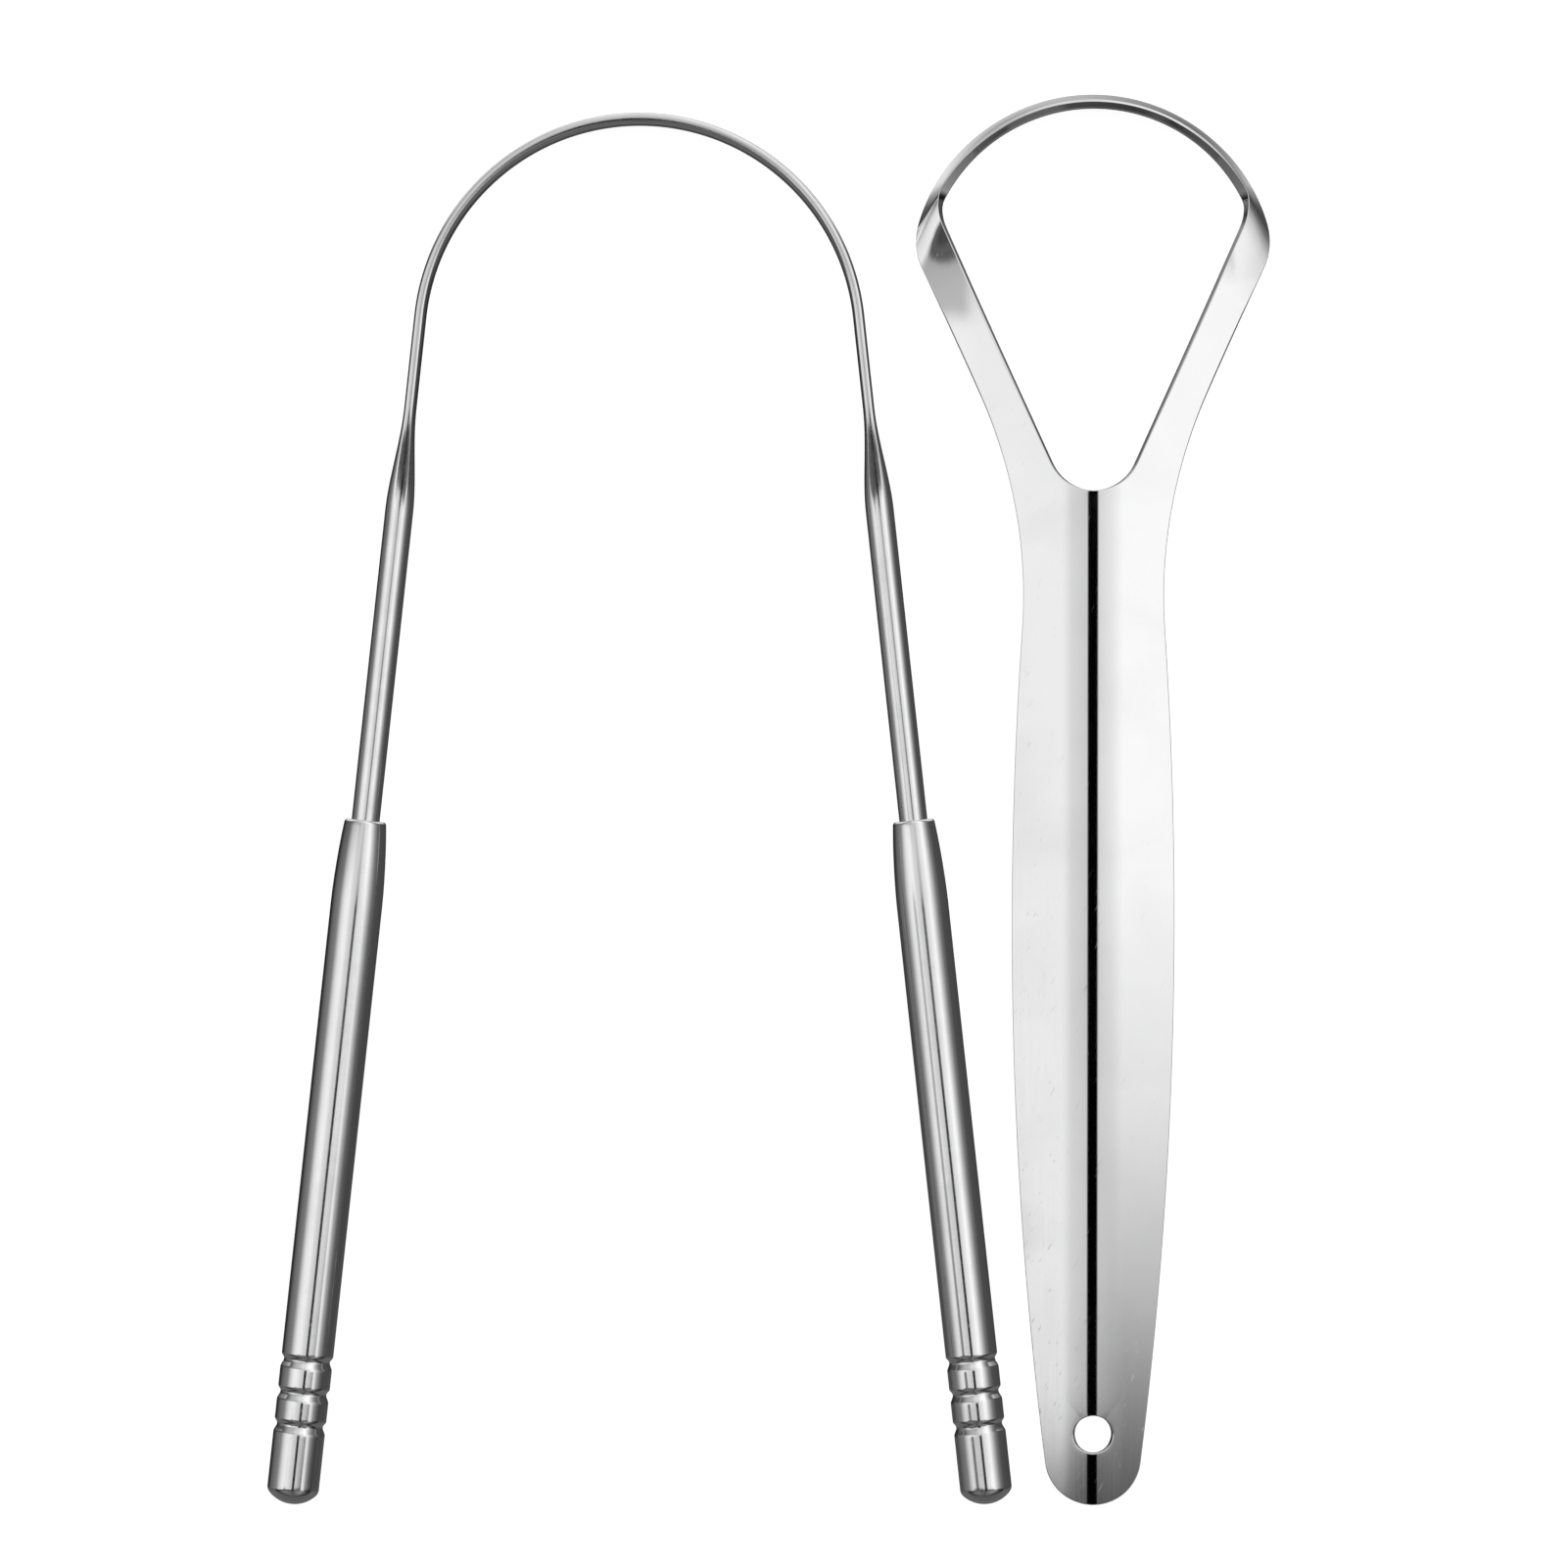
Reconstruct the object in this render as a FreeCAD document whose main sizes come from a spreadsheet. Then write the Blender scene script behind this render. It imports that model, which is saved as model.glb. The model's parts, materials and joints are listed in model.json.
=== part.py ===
import FreeCAD, Part
import Sketcher
import math
import os

# Two stainless steel tongue scrapers lying side by side: a sprung U with tubular handles, and a scraper
# with a loop head that is stamped and twisted from one sheet. Millimetres and degrees. +X runs from the
# U to the loop scraper, +Y from the handle ends to the scraping heads, +Z up from the resting surface.
# The origin is on that surface, in the middle of the set.

Vector = FreeCAD.Vector
UP = Vector(0, 0, 1)
ACROSS = Vector(1, 0, 0)

# Driving dimensions
SIZES = {
    # Bow of the U: a rod, rolled flat in the middle
    "bow_radius": 23.4,
    "arm_splay": 6.2,
    "band_thickness": 1.2,
    "band_width": 5.2,
    "band_edge_bulge": 0.14,
    "band_leg": 9.9,
    "flare_length": 11.0,
    "rod_diameter": 3.0,
    "rod_length": 33.0,
    # Tubular handles and their end plugs
    "handle_diameter": 5.5,
    "handle_length": 73.0,
    "bore_diameter": 3.9,
    "mouth_diameter": 4.4,
    "mouth_taper": 9.5,
    "mouth_chamfer": 0.25,
    "grip_length": 4.0,
    "socket_depth": 16.0,
    "groove_spacing": 3.45,
    "groove_width": 1.3,
    "groove_bottom": 0.3,
    "groove_depth": 0.3,
    "plug_head": 8.3,
    "spigot_length": 9.0,
    "spigot_lead": 0.4,
    "end_round": 1.0,
    "end_crown": 3.4,
    "fit_clearance": 0.02,
    # Loop scraper: outline of the blank
    "loop_length": 150.0,
    "sheet_thickness": 1.0,
    "tip_radius": 5.0,
    "belly_width": 17.06,
    "waist_width": 14.7,
    "waist_radius": 52.0,
    "notch_radius": 4.85,
    "arm_angle": 24.3,
    "hole_diameter": 4.0,
    "hole_inset": 7.5,
    # Loop scraper: forming
    "wing_slope": 16.0,
    "crest_radius": 12.0,
    "strip_width": 4.0,
    "crown_radius": 19.0,
    "corner_radius": 9.0,
    "crown_half_angle": 55.0,
    "twist_lead": 5.0,
    # Distance between the centre lines of the two tools
    "tool_spacing": 48.2,
}

# Worked-out dimensions of the U. Its frame stands at the centre of the bow's arch.
U_FORMS = {
    "handle_radius": "Size.handle_diameter / 2",
    "rod_corner": "Size.rod_diameter / 2 * sqrt(0.5)",
    "rod_bulge": "Size.rod_diameter / 2 - rod_corner",
    "mouth_travel": "Size.band_leg + Size.flare_length + Size.rod_length",
    "mouth_x": "Size.bow_radius * cos(Size.arm_splay) + mouth_travel * sin(Size.arm_splay)",
    "mouth_y": "Size.bow_radius * sin(Size.arm_splay) - mouth_travel * cos(Size.arm_splay)",
    "swage": "(Size.handle_diameter - Size.mouth_diameter) / 2",
    "swage_arc": "(Size.mouth_taper^2 + swage^2) / (2 * swage)",
    "seam": "Size.handle_length - Size.plug_head",
    "groove_floor": "handle_radius - Size.groove_depth",
    "groove_rim": "handle_radius + Size.groove_depth",
    "groove_reach": "Size.groove_width - Size.groove_bottom / 2",
    "spigot_radius": "Size.bore_diameter / 2 - Size.fit_clearance",
    "dome_centre": "Size.end_crown - Size.handle_length",
    "dome_inset": "handle_radius - Size.end_round",
    "dome_reach": "Size.end_crown - Size.end_round",
    "dome_drop": "sqrt(dome_reach^2 - dome_inset^2)",
    "dome_share": "Size.end_crown / dome_reach",
}

# Worked-out dimensions of the loop scraper. Its frame has the handle's tip at y = 0 and the lower edge
# of the loop at z = 0, and these give its right half.
LOOP_FORMS = {
    # Centre line of the strip: crown arc, corner arc, then the straight arm from the bend to its root
    "crown_y": "Size.loop_length - Size.sheet_thickness / 2 - Size.crown_radius",
    "corner_x": "(Size.crown_radius - Size.corner_radius) * sin(Size.crown_half_angle)",
    "corner_y": "crown_y + (Size.crown_radius - Size.corner_radius) * cos(Size.crown_half_angle)",
    "corner_sweep": "90 + Size.arm_angle - Size.crown_half_angle",
    "corner_run": "Size.corner_radius * corner_sweep * pi / 180",
    "arm_cos": "cos(Size.arm_angle)",
    "arm_sin": "sin(Size.arm_angle)",
    "bend_x": "corner_x + Size.corner_radius * arm_cos",
    "bend_y": "corner_y - Size.corner_radius * arm_sin",
    "root_slope": "arm_cos * tan(Size.wing_slope)",
    "half_arm": "Size.strip_width / 2 / sqrt(1 + root_slope^2)",
    # Waist arc, which runs into the arm's outer edge at the shoulder
    "outer_x": "bend_x + half_arm * arm_cos",
    "outer_y": "bend_y - half_arm * arm_sin",
    "waist_x": "Size.waist_width / 2 + Size.waist_radius",
    "waist_y": "outer_y + ((waist_x - outer_x) * arm_cos - Size.waist_radius) / arm_sin",
    "shoulder_x": "waist_x - Size.waist_radius * arm_cos",
    "shoulder_y": "waist_y + Size.waist_radius * arm_sin",
    "root_x": "shoulder_x - half_arm * arm_cos",
    "root_y": "shoulder_y + half_arm * arm_sin",
    "fork_x": "shoulder_x - 2 * half_arm * arm_cos",
    "fork_y": "shoulder_y + 2 * half_arm * arm_sin",
    "arm_run": "(bend_y - root_y) / arm_cos",
    # Belly arc, tangent to the waist arc and to the round tip
    "pinch": "(Size.belly_width - Size.waist_width) / 2",
    "tip_step": "Size.belly_width - 2 * Size.tip_radius",
    "tip_spread": "Size.belly_width^2 / 4 - Size.tip_radius^2",
    "waist_rise": "waist_y - Size.tip_radius",
    "waist_spread": "2 * pinch * (tip_spread / tip_step + Size.waist_radius) - pinch^2",
    "waist_share": "1 - 2 * pinch / tip_step",
    "belly_root": "sqrt(waist_rise^2 - waist_share * (waist_rise^2 - waist_spread))",
    "belly_rise": "(waist_rise - belly_root) / waist_share",
    "belly_arc": "(tip_spread + belly_rise^2) / tip_step",
    "belly_x": "Size.belly_width / 2 - belly_arc",
    "belly_y": "Size.tip_radius + belly_rise",
    "tip_share": "belly_arc / (belly_arc - Size.tip_radius)",
    "tip_join_x": "belly_x - belly_x * tip_share",
    "tip_join_y": "belly_y - belly_rise * tip_share",
    "waist_join_share": "belly_arc / (belly_arc + Size.waist_radius)",
    "waist_join_x": "belly_x + (waist_x - belly_x) * waist_join_share",
    "waist_join_y": "belly_y + (waist_y - belly_y) * waist_join_share",
    # Round bottom of the notch between the arms
    "notch_y": "fork_y - (fork_x * arm_cos - Size.notch_radius) / arm_sin",
    "notch_join_x": "Size.notch_radius * arm_cos",
    "notch_join_y": "notch_y - Size.notch_radius * arm_sin",
    # Heights: the strip follows the wing at its root and levels out by the end of the corner
    "wing_fall": "arm_sin * tan(Size.wing_slope)",
    "root_z": "Size.strip_width / 2 + wing_fall * (arm_run + corner_run) / 2",
    "ridge_z": "root_z + root_x * tan(Size.wing_slope)",
    "half_skin": "Size.sheet_thickness / 2 / cos(Size.wing_slope)",
    "crest_z": "ridge_z + half_skin - Size.crest_radius / cos(Size.wing_slope)",
    "inner_crest": "Size.crest_radius - Size.sheet_thickness",
    "tip_z": "ridge_z - half_skin - Size.tip_radius * tan(Size.wing_slope)",
    "rest_pitch": "atan(tip_z / (corner_y - Size.tip_radius))",
}

# Worked-out places of the two tools in the set
SET_FORMS = {
    "end_travel": "mouth_travel + Size.handle_length - Size.end_round",
    "u_reach": "(Size.bow_radius + handle_radius) * cos(Size.arm_splay) + end_travel * sin(Size.arm_splay)",
    "loop_reach": "corner_x + Size.corner_radius + Size.strip_width / 2 * cos(Size.crown_half_angle)",
    "u_x": "(u_reach - loop_reach - Size.tool_spacing) / 2",
    "u_y": "Size.handle_length * cos(Size.arm_splay) - mouth_y - Size.loop_length / 2",
    "loop_x": "u_x + Size.tool_spacing",
    "loop_y": "-Size.loop_length / 2",
    "loop_z": "-corner_y * sin(rest_pitch)",
}

FLARE_STATIONS = 3
ARM_STATIONS = 7
CORNER_STATIONS = 12
GROOVE_COUNT = 3
TRIM_MARGIN = 1


def fill_sheet(name, cells):
    """Write named values into a spreadsheet, one aliased cell each."""
    sheet = doc.addObject("Spreadsheet::Sheet", name)
    for row, (alias, content) in enumerate(cells.items(), start=1):
        sheet.set(f"A{row}", alias)
        sheet.set(f"B{row}", content)
        sheet.setAlias(f"B{row}", alias)
    doc.recompute()
    return sheet


doc = FreeCAD.newDocument("tongue_scraper_set")
size = fill_sheet("Size", {alias: str(number) for alias, number in SIZES.items()})
formulas = {**U_FORMS, **LOOP_FORMS, **SET_FORMS}
form = fill_sheet("Form", {alias: f"={formula}" for alias, formula in formulas.items()})


def value_of(expression):
    """Evaluate an expression of sheet cells."""
    return float(size.evalExpression(expression))


def origin_plane(body, role):
    """The named origin plane of a body."""
    return next(feature for feature in body.Origin.OriginFeatures if feature.Role == role)


def new_sketch(body, name, role):
    """A sketch on one of its body's origin planes."""
    sketch = body.newObject("Sketcher::SketchObject", name)
    sketch.AttachmentSupport = [(origin_plane(body, role), "")]
    sketch.MapMode = "FlatFace"
    return sketch


def bind(sketch, constraint, expression):
    """Add a constraint and bind its value to an expression."""
    index = sketch.addConstraint(constraint)
    sketch.setExpression(f"Constraints[{index}]", expression)


def pin_point(sketch, geometry, position, x, y):
    """Fix a point of a sketch at two expressions, or on an axis where one of them is 0."""
    for kind, axis, expression in (("DistanceX", -2, x), ("DistanceY", -1, y)):
        if expression == "0":
            sketch.addConstraint(Sketcher.Constraint("PointOnObject", geometry, position, axis))
        else:
            distance = Sketcher.Constraint(kind, -1, 1, geometry, position, value_of(expression))
            bind(sketch, distance, expression)


def arc_between(start, end, radius):
    """The short arc from start to end, turning left for a positive radius and right for a negative one."""
    chord = end - start
    height = math.sqrt(max(radius**2 - chord.Length**2 / 4, 0))
    centre = (start + end) / 2 + UP.cross(chord).normalize() * math.copysign(height, radius)
    first, last = (start, end) if radius > 0 else (end, start)
    angles = [math.atan2(point.y - centre.y, point.x - centre.x) for point in (first, last)]
    return Part.ArcOfCircle(Part.Circle(centre, UP, abs(radius)), *angles)


def draw_outline(sketch, corners, arcs=None):
    """Draw a closed outline. Corners are pairs of expressions. arcs gives the signed radius of each side
    that is an arc, by the number of the corner where it starts."""
    arcs = arcs or {}
    points = [Vector(value_of(x), value_of(y), 0) for x, y in corners]
    base = sketch.GeometryCount
    starts, ends = [], []
    for number, start in enumerate(points):
        end = points[(number + 1) % len(points)]
        radius = value_of(arcs[number]) if number in arcs else None
        sketch.addGeometry(arc_between(start, end, radius) if radius else Part.LineSegment(start, end))
        turns_right = radius is not None and radius < 0
        starts.append(2 if turns_right else 1)
        ends.append(1 if turns_right else 2)
    for number, (x, y) in enumerate(corners):
        before = (number - 1) % len(points)
        join = (base + before, ends[before], base + number, starts[number])
        sketch.addConstraint(Sketcher.Constraint("Coincident", *join))
        pin_point(sketch, base + number, starts[number], x, y)
    for number, radius in arcs.items():
        distance = Sketcher.Constraint("Radius", base + number, abs(value_of(radius)))
        bind(sketch, distance, f"abs({radius})")


def draw_circle(sketch, x, y, radius):
    """Draw a circle from three expressions."""
    centre = Vector(value_of(x), value_of(y), 0)
    number = sketch.addGeometry(Part.Circle(centre, UP, value_of(radius)))
    pin_point(sketch, number, 3, x, y)
    bind(sketch, Sketcher.Constraint("Radius", number, value_of(radius)), radius)


def revolve(body, sketch, name, kind="PartDesign::Revolution"):
    """Turn a sketch all the way round its upright axis, adding or cutting."""
    feature = body.newObject(kind, name)
    feature.Profile = sketch
    feature.ReferenceAxis = (sketch, ["V_Axis"])
    feature.Angle = 360
    return feature


def pad(body, sketch, name, length):
    """Pad a sketch along its normal."""
    feature = body.newObject("PartDesign::Pad", name)
    feature.Profile = sketch
    feature.setExpression("Length", length)
    return feature


def cut_through(body, sketch, name):
    """Cut a sketch through everything above and below it."""
    feature = body.newObject("PartDesign::Pocket", name)
    feature.Profile = sketch
    feature.Type = "ThroughAll"
    feature.Midplane = True
    return feature


def place(piece, axis, turn, x, y, z):
    """Bind a piece's turn about an axis and its place to expressions."""
    piece.Placement = FreeCAD.Placement(Vector(0, 0, 0), FreeCAD.Rotation(axis, 1))
    piece.setExpression("Placement.Rotation.Angle", turn)
    for letter, expression in (("x", x), ("y", y), ("z", z)):
        piece.setExpression(f"Placement.Base.{letter}", expression)


def ease(share):
    """Smooth step from 0 to 1 with level ends."""
    share = min(max(share, 0), 1)
    return share**2 * (3 - 2 * share)


# Bow


def draw_bow_section(sketch, centre, share):
    """Draw the bow's section: the flat band with round edges at share 0, the round rod at share 1."""

    def mix(band, rod):
        return f"({1 - share} * ({band}) + {share} * {rod})"

    half_face = mix("Size.band_width / 2 - Size.band_edge_bulge", "Form.rod_corner")
    half_edge = mix("Size.band_thickness / 2", "Form.rod_corner")
    edge_bulge = mix("Size.band_edge_bulge", "Form.rod_bulge")
    edge_arc = f"(({half_edge}^2 + {edge_bulge}^2) / (2 * {edge_bulge}))"
    arcs = {1: edge_arc, 3: edge_arc}
    if share > 0:
        face_bulge = f"({share} * Form.rod_bulge)"
        face_arc = f"(({half_face}^2 + {face_bulge}^2) / (2 * {face_bulge}))"
        arcs.update({0: face_arc, 2: face_arc})
    corners = [
        (f"{centre} + {half_edge}", f"-{half_face}"),
        (f"{centre} + {half_edge}", half_face),
        (f"{centre} - {half_edge}", half_face),
        (f"{centre} - {half_edge}", f"-{half_face}"),
    ]
    draw_outline(sketch, corners, arcs)


def arm_section(body, name, travel, share):
    """A section of the bow, square to the right arm at a distance along it."""
    sketch = new_sketch(body, name, "XZ_Plane")
    sketch.AttachmentOffset = FreeCAD.Placement(Vector(0, 0, 0), FreeCAD.Rotation(Vector(0, 1, 0), 1))
    sketch.setExpression(
        "AttachmentOffset.Base.x",
        f"Size.bow_radius * cos(Size.arm_splay) + {travel} * sin(Size.arm_splay)",
    )
    sketch.setExpression(
        "AttachmentOffset.Base.z",
        f"{travel} * cos(Size.arm_splay) - Size.bow_radius * sin(Size.arm_splay)",
    )
    sketch.setExpression("AttachmentOffset.Rotation.Angle", "Size.arm_splay")
    draw_bow_section(sketch, "0", share)
    return sketch


def make_bow():
    """The U: a flat band round the arch, which flares into a round rod down each arm."""
    body = doc.addObject("PartDesign::Body", "bow")
    arch_section = new_sketch(body, "arch_section", "YZ_Plane")
    draw_bow_section(arch_section, "Size.bow_radius", 0)
    arch = revolve(body, arch_section, "arch")
    arch.Midplane = True
    arch.setExpression("Angle", "2 * (90 - Size.arm_splay)")

    leg = pad(body, arm_section(body, "leg_section", "0", 0), "band_leg", "Size.band_leg")

    sections = []
    for number in range(FLARE_STATIONS):
        share = number / (FLARE_STATIONS - 1)
        travel = f"(Size.band_leg + {share} * Size.flare_length)"
        sections.append(arm_section(body, f"flare_section_{number}", travel, ease(share)))
    flare = body.newObject("PartDesign::AdditiveLoft", "flare")
    flare.Profile = sections[0]
    flare.Sections = sections[1:]

    rod_section = arm_section(body, "rod_section", "(Size.band_leg + Size.flare_length)", 1)
    rod = pad(body, rod_section, "rod", "Size.rod_length + Size.socket_depth")

    other_arm = body.newObject("PartDesign::Mirrored", "other_arm")
    other_arm.Originals = [leg, flare, rod]
    other_arm.MirrorPlane = (origin_plane(body, "YZ_Plane"), [""])
    body.Tip = other_arm
    place(body, UP, "0", "Form.u_x", "Form.u_y", "Form.handle_radius")
    return body


# Handles


def place_on_arm(body, side):
    """Place a handle piece, drawn from the mouth down its own -Y, on the right (1) or left (-1) arm."""
    turn = f"{side} * Size.arm_splay"
    place(body, UP, turn, f"Form.u_x + {side} * Form.mouth_x", "Form.u_y + Form.mouth_y", "Form.handle_radius")


def cut_seam_groove(body):
    """Cut the tapered groove that has the seam between tube and plug at its bottom."""
    section = new_sketch(body, "groove_section", "XY_Plane")
    corners = [
        ("Form.groove_floor", "-Size.groove_bottom / 2 - Form.seam"),
        ("Form.groove_rim", "-Form.groove_reach - Form.seam"),
        ("Form.groove_rim", "Form.groove_reach - Form.seam"),
        ("Form.groove_floor", "Size.groove_bottom / 2 - Form.seam"),
    ]
    draw_outline(section, corners)
    return revolve(body, section, "seam_groove", "PartDesign::Groove")


def make_handle_tube(name, side):
    """A tube swaged down onto the rod at its mouth, with grooves turned near its other end."""
    body = doc.addObject("PartDesign::Body", name)
    bore_radius = "Size.bore_diameter / 2"
    grip_radius = "Size.rod_diameter / 2 + Size.fit_clearance"
    profile = new_sketch(body, "wall_profile", "XY_Plane")
    corners = [
        ("Size.mouth_diameter / 2", "0"),
        ("Form.handle_radius", "-Size.mouth_taper"),
        ("Form.handle_radius", "-Form.seam"),
        (bore_radius, "-Form.seam"),
        (bore_radius, "-Size.mouth_taper"),
        (grip_radius, "-Size.grip_length"),
        (grip_radius, "0"),
    ]
    draw_outline(profile, corners, {0: "-Form.swage_arc"})
    revolve(body, profile, "wall")

    groove = cut_seam_groove(body)
    grooves = body.newObject("PartDesign::LinearPattern", "grooves")
    grooves.Originals = [groove]
    grooves.Direction = (groove.Profile[0], ["V_Axis"])
    grooves.Occurrences = GROOVE_COUNT
    grooves.setExpression("Length", f"{GROOVE_COUNT - 1} * Size.groove_spacing")
    body.Tip = grooves
    doc.recompute()

    mouth_edges = [
        f"Edge{number}"
        for number, edge in enumerate(grooves.Shape.Edges, start=1)
        if isinstance(edge.Curve, Part.Circle)
        and math.isclose(edge.Curve.Radius, size.mouth_diameter / 2, abs_tol=1e-6)
    ]
    chamfer = body.newObject("PartDesign::Chamfer", "mouth_edge")
    chamfer.Base = (grooves, mouth_edges)
    chamfer.setExpression("Size", "Size.mouth_chamfer")
    body.Tip = chamfer
    place_on_arm(body, side)
    return body


def make_end_plug(name, side):
    """A domed head with a spigot pressed into the tube's bore."""
    body = doc.addObject("PartDesign::Body", name)
    spigot_top = "(Size.spigot_length - Form.seam)"
    profile = new_sketch(body, "plug_profile", "XY_Plane")
    corners = [
        ("0", spigot_top),
        ("Form.spigot_radius - Size.spigot_lead", spigot_top),
        ("Form.spigot_radius", f"{spigot_top} - Size.spigot_lead"),
        ("Form.spigot_radius", "-Form.seam"),
        ("Form.handle_radius", "-Form.seam"),
        ("Form.handle_radius", "Form.dome_centre - Form.dome_drop"),
        ("Form.dome_inset * Form.dome_share", "Form.dome_centre - Form.dome_drop * Form.dome_share"),
        ("0", "-Size.handle_length"),
    ]
    draw_outline(profile, corners, {5: "-Size.end_round", 6: "-Size.end_crown"})
    revolve(body, profile, "plug")
    body.Tip = cut_seam_groove(body)
    place_on_arm(body, side)
    return body


# Loop scraper


def mirrored(points):
    """The same points on the other side of the centre line, in reverse order."""
    return [(f"-{x}", y) for x, y in reversed(points)]


def make_plate():
    """The pressed handle: a sheet bent along a rounded ridge, trimmed to the blank's outline and pierced."""
    body = doc.addObject("PartDesign::Body", "loop_plate")
    span = f"(Form.shoulder_x + {TRIM_MARGIN})"
    wing_edge = f"Form.ridge_z - {span} * tan(Size.wing_slope)"
    crest_section = new_sketch(body, "crest_section", "XZ_Plane")
    crest_section.AttachmentOffset = FreeCAD.Placement(Vector(0, 0, TRIM_MARGIN), FreeCAD.Rotation())
    upper = [
        (span, f"{wing_edge} + Form.half_skin"),
        ("Size.crest_radius * sin(Size.wing_slope)", "Form.crest_z + Size.crest_radius * cos(Size.wing_slope)"),
    ]
    lower = [
        ("Form.inner_crest * sin(Size.wing_slope)", "Form.crest_z + Form.inner_crest * cos(Size.wing_slope)"),
        (span, f"{wing_edge} - Form.half_skin"),
    ]
    corners = upper + mirrored(upper) + mirrored(lower) + lower
    draw_outline(crest_section, corners, {1: "Size.crest_radius", 5: "-Form.inner_crest"})
    sheet = pad(body, crest_section, "pressed_sheet", f"Form.fork_y + {2 * TRIM_MARGIN}")
    sheet.Reversed = True

    surround = new_sketch(body, "blank_outline", "XY_Plane")
    frame_x = f"({span} + {TRIM_MARGIN})"
    frame_end = f"Form.fork_y + {2 * TRIM_MARGIN}"
    frame_side = [(frame_x, f"-{2 * TRIM_MARGIN}"), (frame_x, frame_end)]
    draw_outline(surround, frame_side + mirrored(frame_side))
    right_side = [
        ("Form.tip_join_x", "Form.tip_join_y"),
        ("Form.waist_join_x", "Form.waist_join_y"),
        ("Form.shoulder_x", "Form.shoulder_y"),
        ("Form.fork_x", "Form.fork_y"),
        ("Form.notch_join_x", "Form.notch_join_y"),
    ]
    arcs = {
        0: "Form.belly_arc",
        1: "-Size.waist_radius",
        4: "-Size.notch_radius",
        7: "-Size.waist_radius",
        8: "Form.belly_arc",
        9: "Size.tip_radius",
    }
    draw_outline(surround, right_side + mirrored(right_side), arcs)
    cut_through(body, surround, "trim")

    hole = new_sketch(body, "hang_hole_section", "XY_Plane")
    draw_circle(hole, "0", "Size.hole_inset", "Size.hole_diameter / 2")
    body.Tip = cut_through(body, hole, "hang_hole")
    return body


def strip_section(point, outward, tilt, upright_share):
    """The strip's section at a point, tilted so that its outer edge goes down. Near the root its sides
    are upright, like the trimmed edge of the sheet."""
    width = outward * math.cos(tilt) - UP * math.sin(tilt)
    square = outward * math.sin(tilt) + UP * math.cos(tilt)
    skin = square * (size.sheet_thickness / 2) * (1 - upright_share) + UP * form.half_skin * upright_share
    half = width * (size.strip_width / 2)
    corners = [point - half - skin, point + half - skin, point + half + skin, point - half + skin]
    return Part.makePolygon(corners + corners[:1])


def make_right_arm():
    """The arm from its root on the wing to the end of the corner, where the strip stands on edge."""
    outward = Vector(form.arm_cos, -form.arm_sin, 0)
    forward = Vector(form.arm_sin, form.arm_cos, 0)
    root = Vector(form.root_x, form.root_y, form.root_z)
    corner = Vector(form.corner_x, form.corner_y, 0)
    run = form.arm_run + form.corner_run
    root_tilt = math.atan(form.root_slope)
    twist_start = form.arm_run - size.twist_lead

    def section(travel):
        height = form.wing_fall * (travel - travel**2 / (2 * run))
        turn = max(travel - form.arm_run, 0) / size.corner_radius
        side = FreeCAD.Rotation(UP, math.degrees(turn)).multVec(outward)
        if turn > 0:
            point = corner + side * size.corner_radius + UP * (form.root_z - height)
        else:
            point = root + forward * travel - UP * height
        twist = ease((travel - twist_start) / (run - twist_start))
        tilt = root_tilt + (math.pi / 2 - root_tilt) * twist
        return strip_section(point, side, tilt, 1 - ease(travel / form.arm_run))

    travels = [form.arm_run * number / ARM_STATIONS for number in range(ARM_STATIONS)]
    for number in range(CORNER_STATIONS + 1):
        travels.append(form.arm_run + form.corner_run * number / CORNER_STATIONS)
    arm = doc.addObject("Part::Feature", "right_arm")
    arm.Shape = Part.makeLoft([section(travel) for travel in travels], True, False)
    return arm


def make_crown_band():
    """The strip on edge round the top of the loop."""
    body = doc.addObject("PartDesign::Body", "crown_band")
    section = new_sketch(body, "crown_section", "YZ_Plane")
    section.setExpression("AttachmentOffset.Base.x", "Form.crown_y")
    inner = "(Size.crown_radius - Size.sheet_thickness / 2)"
    outer = "(Size.crown_radius + Size.sheet_thickness / 2)"
    corners = [(inner, "0"), (outer, "0"), (outer, "Size.strip_width"), (inner, "Size.strip_width")]
    draw_outline(section, corners)
    band = revolve(body, section, "crown")
    band.Midplane = True
    band.setExpression("Angle", "2 * Size.crown_half_angle")
    return body


def make_loop_scraper():
    """One sheet: the pressed handle, two twisting arms and the band between them, resting on the loop's
    lower edge and on the handle's tip."""
    right_arm = make_right_arm()
    left_arm = doc.addObject("Part::Mirroring", "left_arm")
    left_arm.Source = right_arm
    left_arm.Normal = ACROSS
    scraper = doc.addObject("Part::MultiFuse", "loop_scraper")
    scraper.Shapes = [make_plate(), right_arm, left_arm, make_crown_band()]
    place(scraper, ACROSS, "Form.rest_pitch", "Form.loop_x", "Form.loop_y", "Form.loop_z")
    return scraper


def check_model(pieces):
    """Stop if any object failed or any piece is not one valid solid."""
    for item in doc.Objects:
        if "Invalid" in item.State or "Error" in item.State:
            raise RuntimeError(f"{item.Name} failed: {item.State}")
    for piece in pieces:
        shape = piece.Shape
        if shape.isNull() or not shape.isValid() or len(shape.Solids) != 1:
            raise RuntimeError(f"{piece.Label} is not one valid solid")


pieces = [make_bow()]
for side_name, side in (("left", -1), ("right", 1)):
    pieces.append(make_handle_tube(f"{side_name}_handle_tube", side))
    pieces.append(make_end_plug(f"{side_name}_end_plug", side))
pieces.append(make_loop_scraper())
doc.recompute()
check_model(pieces)

os.makedirs("parts", exist_ok=True)
for piece in pieces:
    piece.Shape.exportStep(f"parts/{piece.Label}.step")
    print(f"{piece.Label}: {piece.Shape.Volume:.1f} cubic millimetres")
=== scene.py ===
import json
from math import atan, atan2, cos, pi, radians, sin, sqrt, tan
from types import SimpleNamespace

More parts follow.
